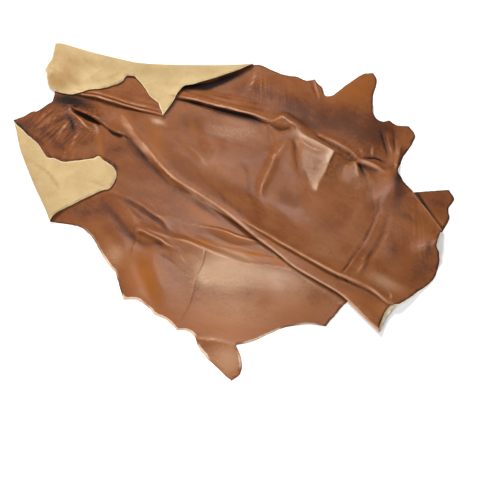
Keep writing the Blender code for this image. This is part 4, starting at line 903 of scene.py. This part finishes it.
# The leather's look. Sizes are counts per metre, ways from the cut in metres, depths in millimetres
# and colours linear. A noise's row is its size, detail, roughness and warp, then its turn in degrees
# and its stretch where it is drawn out. A range's row is the value's ends, then the result's where
# they aren't 0 and 1. The other dictionaries say how much each part counts
grain = {
    "shades": ((0.0, (0.014, 0.007, 0.005)), (1.0, (0.355, 0.143, 0.064)), (0.30, (0.108, 0.033, 0.012)),
               (0.52, (0.198, 0.061, 0.019)), (0.76, (0.265, 0.091, 0.030))),
    "warm": (0.33, 0.098, 0.010),
    "warmth": 0.9,                 # how far a fully warm place takes on that colour
    # bleached paler, and painted sheen where the light would gleam on the finish
    "paleAndSheen": (0.52, 0.31, 0.185),
    "rim": (0.80, 0.55, 0.38),
    # rubbed paler on crests, partly painted highlight and painted light over shaded sides
    "rubbedAndHighlight": (0.56, 0.31, 0.19),
    "roughness": 0.23,
    "noises": {
        "clouds": (7, 5, 0.62, 0.3),
        "streaks": (16, 4, 0.6, 0, -38, (1.6, 0.6, 1)),
        "hairs": (55, 3, 0.6, 0, -42, (4.0, 0.5, 1)),
        "specks": (75, 3, 0.6),
        "dents": (26, 3, 0.5),
        "lines": (60, 2, 0.5, 0, 28, (3.0, 0.4, 1)),
        "ragged": (60, 2),
    },
    "nets": {"net": (42, 0.10), "fineNet": (109.2, 0.14)},  # size, width of a wrinkle
    "pebbles": (380, 0.35),        # size, smoothness
    "lineFields": {                # straight fine lines: strength, then their noise
        "plumb": (2.4, (22, 3, 0.6, 0, 90, (4.0, 0.3, 1))),
        "fan": (2.6, (30, 3, 0.6, 0, 52, (4.0, 0.4, 1))),
        "ply": (2.6, (20, 3, 0.6, 0, -17, (5.0, 0.35, 1))),
    },
    "ragged": 0.008,               # how far in the pale rim's own edge wanders
    "zone": {"wrinkle": 1, "clouds": 0.9},
    "hatch": {"lines": 2, "net": 0.5},
    "bleachAndSheen": {"paleAndSheen": 0.75, "streaked": 0.5},
    # crest lightens crests and darkens valleys: partly the pull-up of bent leather, partly painted light
    # and shade
    "level": {"tone": 1, "lined": 1, "clouds": 0.95, "streaks": 0.40, "specks": 0.18, "crest": 0.30,
              "hairs": 0.32, "wearAndShading": 0.75, "outline": -0.45, "hatch": 1, "net": 0.10, "fineNet": 0.06},
    "dull": {"wearAndShading": 0.75, "tone": 1},
    "gloss": {"clouds": 0.10, "specks": 0.06, "zone": 0.05, "crest": -0.05, "paleAndSheen": -0.10, "dull": 1},
    "relief": {"pebbles": 0.16, "dents": 0.9, "netRelief": 0.55, "fineRelief": 0.22},
    "ranges": {
        "zone": (0.55, 1.15), "level": (-0.35, 1.95), "bleachAndSheen": (0, 1.2), "streaky": (0.25, 0.75, 0.3, 1),
        "rubbedAndHighlight": (0.1, 0.9, 0, 0.9), "dull": (-1.0, -0.15, 0.30, 0), "outline": (0.004, 0.014, 1, 0),
        "plain": (0.1, 0.7, 1, 0), "rimWidth": (0.011, 0.016, 1, 0), "rim": (0.1, 0.6),
    },
}
flesh = {
    "light": (0.60, 0.435, 0.215),
    "deep": (0.47, 0.315, 0.14),
    "stain": (0.36, 0.205, 0.075),
    "rim": (0.86, 0.68, 0.42),
    # painted light: the mouth's lip lies in the pleat's shade and is coloured as if lit
    "lipLight": (1.0, 0.86, 0.60),
    "roughness": 0.85, "sheen": 0.15, "sheenRoughness": 0.5, "bump": 0.8,
    "noises": {
        "clouds": (9, 5, 0.6, 0.4),
        "fibres": (160, 3, 0.7, 0, 25, (4.0, 0.7, 1)),
        "blots": (14, 4, 0.6),
        "ragged": (60, 2),
    },
    "net": (22, 0.06),
    # wearAndShading paints the flaps' creases darker, a painted shade; crest lightens the bends and darkens
    # the hollows, painted light and shade
    "level": {"clouds": 1, "fibres": 0.35, "net": 0.12, "wearAndShading": 0.7, "crest": 0.25},
    "stains": {"stain": 1, "blots": 0.8},
    "edge": {"edgeWay": 1, "ragged": 0.006},
    "relief": {"fibres": 0.35, "clouds": 1.2, "net": 0.25},
    "ranges": {"level": (0.35, 1.15), "stains": (0.55, 1.35), "edge": (0.005, 0.010, 0.7, 0),
               "lipLight": (0, 0.8)},
}
# The cut through the hide's thickness
cut = {"dark": (0.50, 0.34, 0.19), "light": (0.78, 0.64, 0.44), "size": 320, "detail": 2, "roughness": 0.9}
# Where the leather looks different, as soft ovals in the laid places: deeper or paler in tone, warmer,
# bleached and with painted sheen, wrinkled, with straight lines (fanned, across or upright), and on the
# flesh side and the cut stained, pale along the rim, or lit on the mouth's lip by painted light.
# Columns: x, y, half length, half width, strength, bearing in degrees
looks = {
    "tone": ((-180, 420, 90, 70, -0.6, -30), (520, -510, 160, 30, -0.3, -40), (670, -630, 60, 50, 0.4, -40),
        (-650, -100, 160, 70, -0.5, 10), (-490, -210, 120, 60, -0.3, -50), (560, 440, 260, 120, -0.6, -12),
        (720, 330, 140, 100, -0.5, 60), (280, 560, 160, 70, -0.3, -20), (600, 640, 160, 100, 0.25, 30),
        # the deepest oval here, at (-800, 570), is painted shade where the sheet dips under the top flap
        (-800, 570, 110, 55, -1.2, -15), (-840, 380, 220, 170, -0.3, -45), (-640, 280, 160, 140, -0.1, 0),
        (-400, 60, 260, 120, -0.2, -45), (-690, 510, 120, 50, -0.45, -30), (120, 640, 160, 60, -0.4, -15),
        (660, 600, 120, 100, -0.22, 60), (840, -360, 140, 100, -0.25, 60), (800, -100, 120, 100, -0.2, -60),
        (-200, 120, 140, 60, -0.15, -45), (30, -600, 260, 140, 0.3, -5), (10, -870, 120, 100, 0.35, 60),
        (180, -600, 50, 30, -0.2, 30), (-20, -700, 40, 30, -0.15, 0), (-560, 450, 120, 40, 0.3, -30),
        (-420, 225, 100, 40, -0.45, -45), (-550, 260, 80, 50, -0.25, 0), (980, -50, 100, 80, -0.35, 0),
        (820, -150, 60, 30, -0.4, -30), (750, -320, 70, 40, -0.4, 80), (910, -320, 50, 20, -0.35, 80),
        (860, -450, 100, 50, -0.35, 60), (100, -550, 50, 30, -0.2, 80), (90, -660, 50, 20, -0.3, 80),
        (640, 130, 50, 30, -0.3, -60), (200, 0, 200, 100, -0.15, -50), (290, -30, 110, 60, -0.6, -45),
        (-995, 409, 60, 50, -0.5, -40), (390, 420, 100, 30, -0.35, -38)),
    "warm": ((0, -700, 260, 100, 0.9, -8), (20, -900, 100, 100, 0.5, 0), (300, -600, 200, 80, 0.4, -20),
        (-180, 420, 80, 60, 0.2, -30), (-290, -430, 120, 40, 0.5, -65), (-370, -470, 200, 70, 0.95, -65),
        (650, 640, 140, 100, 0.6, 50), (0, -880, 140, 100, 0.3, 0), (-350, 340, 160, 50, 0.6, -75),
        (860, -190, 100, 60, 0.4, -60), (960, -160, 60, 40, 0.5, -60), (850, -340, 120, 60, 0.35, 60),
        (300, -20, 200, 100, 0.3, -30), (600, -620, 120, 50, 0.3, -45), (160, -620, 200, 80, 0.3, 0),
        (280, -30, 120, 60, 0.1, -45), (90, 100, 70, 40, 0.35, -60), (-100, -270, 100, 30, 0.4, -25),
        (-60, 160, 140, 60, 0.35, -35), (0, -880, 120, 90, 0.25, 60)),
    "paleAndSheen": ((-10, -430, 150, 120, 1.1, -15), (180, -440, 200, 50, 0.6, -12),
        (440, -260, 140, 50, 0.25, -35), (700, -500, 100, 50, 0.4, -35), (545, 120, 90, 50, 0.3, 80),
        (-200, -360, 120, 70, 0.3, -25), (200, -500, 260, 60, 0.4, -8), (-200, -500, 100, 100, 0.2, 0),
        # the strong oval at (-345, 437) is a painted glint under the top flap's tip
        (0, 360, 140, 50, 0.4, -12), (50, 430, 120, 25, 0.3, -14), (-345, 437, 50, 22, 1, -25),
        (440, -340, 160, 50, 0.3, -25), (680, -480, 140, 50, 0.22, -30), (-480, -330, 60, 50, 0.4, -60),
        (330, -600, 140, 70, 0.22, -15), (-660, 260, 100, 60, 0.25, 0), (-450, 50, 200, 80, 0.2, -20),
        (20, -630, 240, 100, 0.45, -5), (10, -870, 130, 100, 0.6, 60), (110, 370, 100, 40, 0.2, -30),
        (-90, -460, 50, 40, 0.7, -60), (-510, -360, 120, 50, 0.35, -65)),
    "wrinkle": ((-30, -480, 260, 140, 0.8, -10), (620, 200, 180, 140, 0.4, 0),
        (-750, 450, 260, 180, 0.5, -30), (700, 580, 200, 160, 0.3, 60), (440, 140, 100, 80, 0.4, -60)),
    "fan": ((-870, 410, 140, 100, 1.2, -45), (-680, 330, 100, 80, 0.4, 0), (600, 250, 100, 80, 0.6, 0),
        (440, 160, 100, 70, 0.3, -60)),
    "ply": ((-20, 565, 300, 55, 1.1, -17), (-550, 585, 260, 45, 0.8, -17), (-50, 330, 200, 100, 0.3, -17),
        (50, -500, 260, 120, 0.4, -17)),
    "plumb": ((175, 640, 45, 140, 1.1, 0), (100, -450, 100, 60, 1, 0), (870, -240, 120, 160, 0.8, 0),
        (660, 30, 50, 100, 0.6, 0), (-550, 120, 60, 120, 0.5, 0), (420, -580, 140, 60, 0.4, 0),
        (280, 600, 80, 120, 0.5, 0)),
    "stain": ((-860, 700, 100, 120, 0.85, 90), (-800, 830, 200, 80, 0.55, -10),
        (-620, 720, 200, 60, 0.35, 10), (-920, 100, 140, 50, 0.45, -65)),
    "rim": ((-410, -575, 70, 30, 1.2, 0), (-270, -670, 100, 40, 1.2, -40), (-150, -730, 50, 30, 0.8, -20),
        (120, -775, 50, 30, 1.3, 20), (210, -735, 50, 20, 1, 15), (-90, -830, 50, 30, 1.1, -45),
        (350, -700, 80, 30, 0.5, 0), (-520, -380, 120, 40, 0.6, -60), (55, -870, 50, 30, 0.8, 90),
        (-620, -230, 100, 40, 0.3, -40)),
    "lipLight": ((700, -675, 90, 60, 1.6, 60),),
}


def crestOf(places, faces):
    # How sharply the grain side stands out at each point: above zero on a crest, below in a valley.
    # It is the way from each point's neighbours to it, along its normal, by their distance squared
    ends = np.unique(np.sort(faces[:, [0, 1, 1, 2, 2, 0]].reshape(-1, 2), axis=1), axis=0)
    a, b = np.vstack([ends, ends[:, ::-1]]).T
    count = np.bincount(a, minlength=len(places))

    def around(values):
        return np.bincount(a, values[b], minlength=len(places)) / count
    middle = np.column_stack([around(column) for column in places.T])
    corners = places[faces]
    tilt = np.cross(corners[:, 1] - corners[:, 0], corners[:, 2] - corners[:, 0])
    normal = np.column_stack([np.bincount(faces.ravel(), np.repeat(column, 3), len(places))
                              for column in tilt.T])
    normal /= np.linalg.norm(normal, axis=1)[:, None]
    apart = np.bincount(a, ((places[a] - places[b]) ** 2).sum(axis=1), len(places)) / count
    bend = ((places - middle) * normal).sum(axis=1) / apart
    for _ in range(2):
        bend = (bend + around(bend)) / 2
    return np.tanh(bend / hide["fullCrest"])


def addObject(name, data):
    # A new object in the scene
    thing = bpy.data.objects.new(name, data)
    bpy.context.scene.collection.objects.link(thing)
    return thing


def makeHide():
    # The grain side as a mesh with what its look needs, and the thickness below it
    flat, faces, line = flatSheet()
    edgeWay = wayToEdge(line, flat)
    mesh = bpy.data.meshes.new("hideSheet")
    places, paint = layHide(flat, edgeWay)
    mesh.from_pydata(places.tolist(), [], faces.tolist())
    addNumbers(mesh, "flatPlace", np.column_stack([flat, np.zeros(len(flat))]))
    addNumbers(mesh, "edgeWay", np.minimum(edgeWay, hide["edgeReach"]))
    addNumbers(mesh, "crest", crestOf(places, faces))
    for name, table in looks.items():
        paint[name] = paint.get(name, 0) + softPatches(places[:, :2] + hide["centre"], toMetres(table, 4))
    for name, values in paint.items():
        addNumbers(mesh, name, values)
    for material in (grainLeather(), fleshLeather(), cutLeather()):
        mesh.materials.append(material)
    mesh.shade_smooth()
    sheet = addObject("hideSheet", mesh)
    wall = sheet.modifiers.new("thickness", "SOLIDIFY")
    wall.thickness = hide["thickness"]
    wall.offset = -1
    wall.material_offset = 1
    wall.material_offset_rim = 2
    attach(sheet, "root")
    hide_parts("hide")


def setInputs(tree, node, inputs):
    # Each input is linked from another node's output or given a value
    for key, value in dict(inputs).items():
        if isinstance(value, bpy.types.NodeSocket):
            tree.links.new(value, node.inputs[key])
        else:
            node.inputs[key].default_value = value


def addNode(tree, kind, inputs=(), **settings):
    # One node with its settings and inputs
    node = tree.nodes.new("ShaderNode" + kind)
    for name, value in settings.items():
        setattr(node, name, value)
    setInputs(tree, node, inputs)
    return node


def addMath(tree, operation, first, second=0.0):
    return addNode(tree, "Math", {0: first, 1: second}, operation=operation).outputs[0]


def addProduct(tree, first, second):
    return addMath(tree, "MULTIPLY", first, second)


def addRange(tree, value, low, high, start=0.0, end=1.0):
    # The value eased from start to end while it goes from low to high
    places = {"Value": value, "From Min": low, "From Max": high, "To Min": start, "To Max": end}
    return addNode(tree, "MapRange", places, interpolation_type="SMOOTHSTEP").outputs[0]


def addNoise(tree, place, scale, detail=3.0, rough=0.55, warp=0.0, turn=0.0, stretch=None):
    # Fractal noise, from 0 to 1. With a stretch, the place is turned and drawn out first
    if stretch:
        ways = {"Vector": place, "Rotation": (0, 0, math.radians(turn)), "Scale": stretch}
        place = addNode(tree, "Mapping", ways, vector_type="TEXTURE").outputs[0]
    ways = {"Vector": place, "Scale": scale, "Detail": detail, "Roughness": rough, "Distortion": warp}
    return addNode(tree, "TexNoise", ways).outputs[0]


def addBlend(tree, share, first, second):
    # From the first colour to the second by the share. A plain colour is three numbers
    first, second = ((*c, 1) if isinstance(c, tuple) else c for c in (first, second))
    return addNode(tree, "Mix", {0: share, 6: first, 7: second}, data_type="RGBA").outputs[2]


def addSum(tree, parts, weights):
    # The sum of the named parts, each times its weight
    total = 0.0
    for name, weight in weights.items():
        terms = {0: parts[name], 1: weight, 2: total}
        total = addNode(tree, "Math", terms, operation="MULTIPLY_ADD").outputs[0]
    return total


def readNumbers(tree, name):
    # The numbers or the flat place that the mesh keeps at its points
    node = addNode(tree, "Attribute", attribute_name=name)
    return node.outputs["Vector" if name == "flatPlace" else "Fac"]


def newMaterial(name):
    # A new material, with its nodes and the one that shades it
    material = bpy.data.materials.new(name)
    material.use_nodes = True
    tree = material.node_tree
    return material, tree, tree.nodes["Principled BSDF"]


def addCracks(tree, place, scale, width):
    # A net of fine wrinkles: 0 along the borders between uneven cells, 1 inside them. The place is
    # moved by a coarser noise, by up to about the size of a cell
    bend = addNode(tree, "TexNoise", {"Vector": place, "Scale": scale * 0.7, "Detail": 2}).outputs["Color"]
    ways = {0: bend, 1: (0.9 / scale,) * 3, 2: place}
    moved = addNode(tree, "VectorMath", ways, operation="MULTIPLY_ADD").outputs[0]
    cells = addNode(tree, "TexVoronoi", {"Vector": moved, "Scale": scale}, feature="DISTANCE_TO_EDGE")
    return addRange(tree, cells.outputs["Distance"], 0, width)


def addBump(tree, relief, strength):
    # The surface's slope from a relief in millimetres
    return addNode(tree, "Bump", {"Height": relief, "Strength": strength, "Distance": 0.001}).outputs[0]


def grainLeather():
    # Finished grain: uneven brown with deeper and paler fields, painted sheen and painted shade among
    # them, wrinkles, pores, and worn folds with painted highlight and painted shade
    material, tree, shader = newMaterial("grainLeather")
    place = readNumbers(tree, "flatPlace")
    ranges = grain["ranges"]
    parts = {name: readNumbers(tree, name)
             for name in ("tone", "warm", "paleAndSheen", "wrinkle", "crest", "wearAndShading", "edgeWay", "rim")}
    parts |= {name: addNoise(tree, place, *noise) for name, noise in grain["noises"].items()}
    parts |= {name: addCracks(tree, place, *net) for name, net in grain["nets"].items()}
    scale, smooth = grain["pebbles"]
    parts["pebbles"] = addNode(tree, "TexVoronoi", {"Vector": place, "Scale": scale, "Smoothness": smooth},
                               feature="SMOOTH_F1").outputs["Distance"]
    paleAndSheen, wearAndShading, rim, streaks = (parts[name] for name in ("paleAndSheen", "wearAndShading", "rim", "streaks"))

    # Wrinkles: the zones that have them, the hatching there, and the relief of both nets
    zone = parts["zone"] = addRange(tree, addSum(tree, parts, grain["zone"]), *ranges["zone"])
    marks = {"lines": addMath(tree, "SUBTRACT", parts["lines"], 0.5),
             "net": addMath(tree, "SUBTRACT", parts["net"], 1.0)}
    parts["hatch"] = addProduct(tree, zone, addSum(tree, marks, grain["hatch"]))
    parts["netRelief"] = addProduct(tree, parts["net"], zone)
    parts["fineRelief"] = addProduct(tree, parts["fineNet"], zone)
    # Straight lines, above and below the plain tone
    fields, strengths = {}, {}
    for name, (strength, noise) in grain["lineFields"].items():
        lines = addMath(tree, "SUBTRACT", addNoise(tree, place, *noise), 0.5)
        fields[name] = addProduct(tree, readNumbers(tree, name), lines)
        strengths[name] = strength
    parts["lined"] = addSum(tree, fields, strengths)
    # A dark line along the cut, except where its rim is pale
    ragged = addSum(tree, parts, {"edgeWay": 1, "ragged": grain["ragged"]})
    parts["outline"] = addProduct(tree, addRange(tree, ragged, *ranges["outline"]),
                                  addRange(tree, rim, *ranges["plain"]))

    # The level picks the shade; then warm, bleached with painted sheen, rubbed with painted highlight, and
    # rim colours are laid over it
    level = addRange(tree, addSum(tree, parts, grain["level"]), *ranges["level"])
    shade = addNode(tree, "ValToRGB", {"Fac": level})
    shade.color_ramp.interpolation = "EASE"
    stops = shade.color_ramp.elements
    for n, (at, colour) in enumerate(grain["shades"]):
        stop = stops[n] if n < 2 else stops.new(at)
        stop.position = at
        stop.color = (*colour, 1)
    warmed = addProduct(tree, parts["warm"], grain["warmth"])
    colour = addBlend(tree, warmed, shade.outputs[0], grain["warm"])
    bleachAndSheen = addSum(tree, {"paleAndSheen": paleAndSheen, "streaked": addProduct(tree, paleAndSheen, streaks)}, grain["bleachAndSheen"])
    rubbedAndHighlight = addProduct(tree, wearAndShading, addRange(tree, streaks, *ranges["streaky"]))
    rimmed = addProduct(tree, addRange(tree, ragged, *ranges["rimWidth"]), rim)
    for name, share in (("bleachAndSheen", bleachAndSheen), ("rubbedAndHighlight", rubbedAndHighlight), ("rim", rimmed)):
        over = grain["paleAndSheen" if name == "bleachAndSheen" else name]
        colour = addBlend(tree, addRange(tree, share, *ranges[name]), colour, over)
    parts["dull"] = addRange(tree, addSum(tree, parts, grain["dull"]), *ranges["dull"])
    gloss = addMath(tree, "ADD", addSum(tree, parts, grain["gloss"]), grain["roughness"])
    bump = addBump(tree, addSum(tree, parts, grain["relief"]), 1.0)
    setInputs(tree, shader, {"Base Color": colour, "Roughness": gloss, "Normal": bump})
    return material


def fleshLeather():
    # The suede side: pale tan, with soft clouds, fibres, and warmer stains towards the shoulder
    material, tree, shader = newMaterial("fleshLeather")
    place = readNumbers(tree, "flatPlace")
    parts = {name: readNumbers(tree, name) for name in ("wearAndShading", "crest", "stain", "edgeWay", "lipLight")}
    parts |= {name: addNoise(tree, place, *noise) for name, noise in flesh["noises"].items()}
    parts["net"] = addCracks(tree, place, *flesh["net"])
    shares = {name: addSum(tree, parts, flesh[name]) for name in ("level", "stains", "edge")}
    # painted light on the mouth's lip
    shares["lipLight"] = parts["lipLight"]
    colour = flesh["deep"]
    for name, over in (("level", "light"), ("stains", "stain"), ("edge", "rim"), ("lipLight", "lipLight")):
        share = addRange(tree, shares[name], *flesh["ranges"][name])
        colour = addBlend(tree, share, colour, flesh[over])
    bump = addBump(tree, addSum(tree, parts, flesh["relief"]), flesh["bump"])
    setInputs(tree, shader, {"Base Color": colour, "Roughness": flesh["roughness"], "Normal": bump,
                             "Sheen Weight": flesh["sheen"], "Sheen Roughness": flesh["sheenRoughness"]})
    return material


def cutLeather():
    # The cut through the hide: undyed fibres
    material, tree, shader = newMaterial("cutLeather")
    share = addNoise(tree, readNumbers(tree, "flatPlace"), cut["size"], cut["detail"])
    colour = addBlend(tree, share, cut["dark"], cut["light"])
    setInputs(tree, shader, {"Base Color": colour, "Roughness": cut["roughness"]})
    return material


# The stage: a pale floor, soft studio light, and the camera
stage = {
    "floorSize": 14,
    "floorColour": (0.90, 0.905, 0.92),
    "floorRoughness": 0.9,
    "floorGlow": 0.24,             # as a lit table shows
    "aim": (0.1077, -0.3121, 0),   # where the camera looks
    "distance": 4.375,
    "elevation": 57,
    "lens": 70,
    "lights": (                    # name, place, size, power, and what it gives
        ("keyLight", (-2.7, 5.6, 4.4), (2.2, 1.8), 690, "shade"),
        ("topFill", (0.7, -0.3, 4.0), (4.0, 3.0), 50, "shade"),
        ("frontFill", (-2.4, -3.6, 2.4), (2.4, 1.6), 125, "shade"),
        ("frontSheen", (-0.06, 1.67, 3.3), (0.7, 0.24), 14, "sheen"),
        ("middleSheen", (-0.20, 2.2, 3.3), (0.5, 0.6), 1.2, "sheen"),
        ("backSheen", (-0.05, 3.3, 3.3), (0.5, 0.4), 6.5, "sheen"),
        ("sideSheen", (-3.0, 2.2, 2.4), (0.8, 0.8), 20, "sheen"),
    ),
    "skyColour": (0.95, 0.97, 1.0),
    "skyStrength": 0.08,
}


def addAreaLight(name, place, size, power, gives):
    # A lamp turned towards the middle of the hide. One that gives shade leaves no gleam; one that
    # gives sheen lights nothing else
    light = bpy.data.lights.new(name, "AREA")
    light.shape = "RECTANGLE"
    light.size, light.size_y = size
    light.energy = power
    lamp = addObject(name, light)
    lamp.location = place
    lamp.rotation_euler = (-Vector(place)).to_track_quat("-Z", "Y").to_euler()
    lamp.visible_glossy = gives != "shade"
    lamp.visible_diffuse = gives != "sheen"


def makeStage():
    # The floor, the lamps and the sky
    half = stage["floorSize"] / 2
    mesh = bpy.data.meshes.new("floor")
    corners = [(-half, -half, 0), (half, -half, 0), (half, half, 0), (-half, half, 0)]
    mesh.from_pydata(corners, [], [(0, 1, 2, 3)])
    material, tree, shader = newMaterial("paleFloor")
    setInputs(tree, shader, {"Base Color": (*stage["floorColour"], 1), "Emission Color": (1, 1, 1, 1),
                             "Emission Strength": stage["floorGlow"], "Roughness": stage["floorRoughness"]})
    mesh.materials.append(material)
    floor = addObject("floor", mesh)
    for light in stage["lights"]:
        addAreaLight(*light)
    world = bpy.data.worlds.new("softSky")
    world.use_nodes = True
    sky = world.node_tree.nodes["Background"]
    sky.inputs["Color"].default_value = (*stage["skyColour"], 1)
    sky.inputs["Strength"].default_value = stage["skyStrength"]
    bpy.context.scene.world = world


def makeCamera():
    # The camera looks down at its aim from the front, from the given distance and elevation
    down = math.radians(stage["elevation"])
    back = Vector((0, -math.cos(down), math.sin(down)))
    lens = bpy.data.cameras.new("camera")
    lens.lens = stage["lens"]
    lens.sensor_width = 36
    camera = addObject("camera", lens)
    camera.location = Vector(stage["aim"]) + stage["distance"] * back
    camera.rotation_euler = (math.pi / 2 - down, 0, 0)
    bpy.context.scene.camera = camera
    bpy.context.scene.view_settings.view_transform = "Standard"


makeCamera()
makeStage()
print("stage set")
makeHide()
print("hide laid")
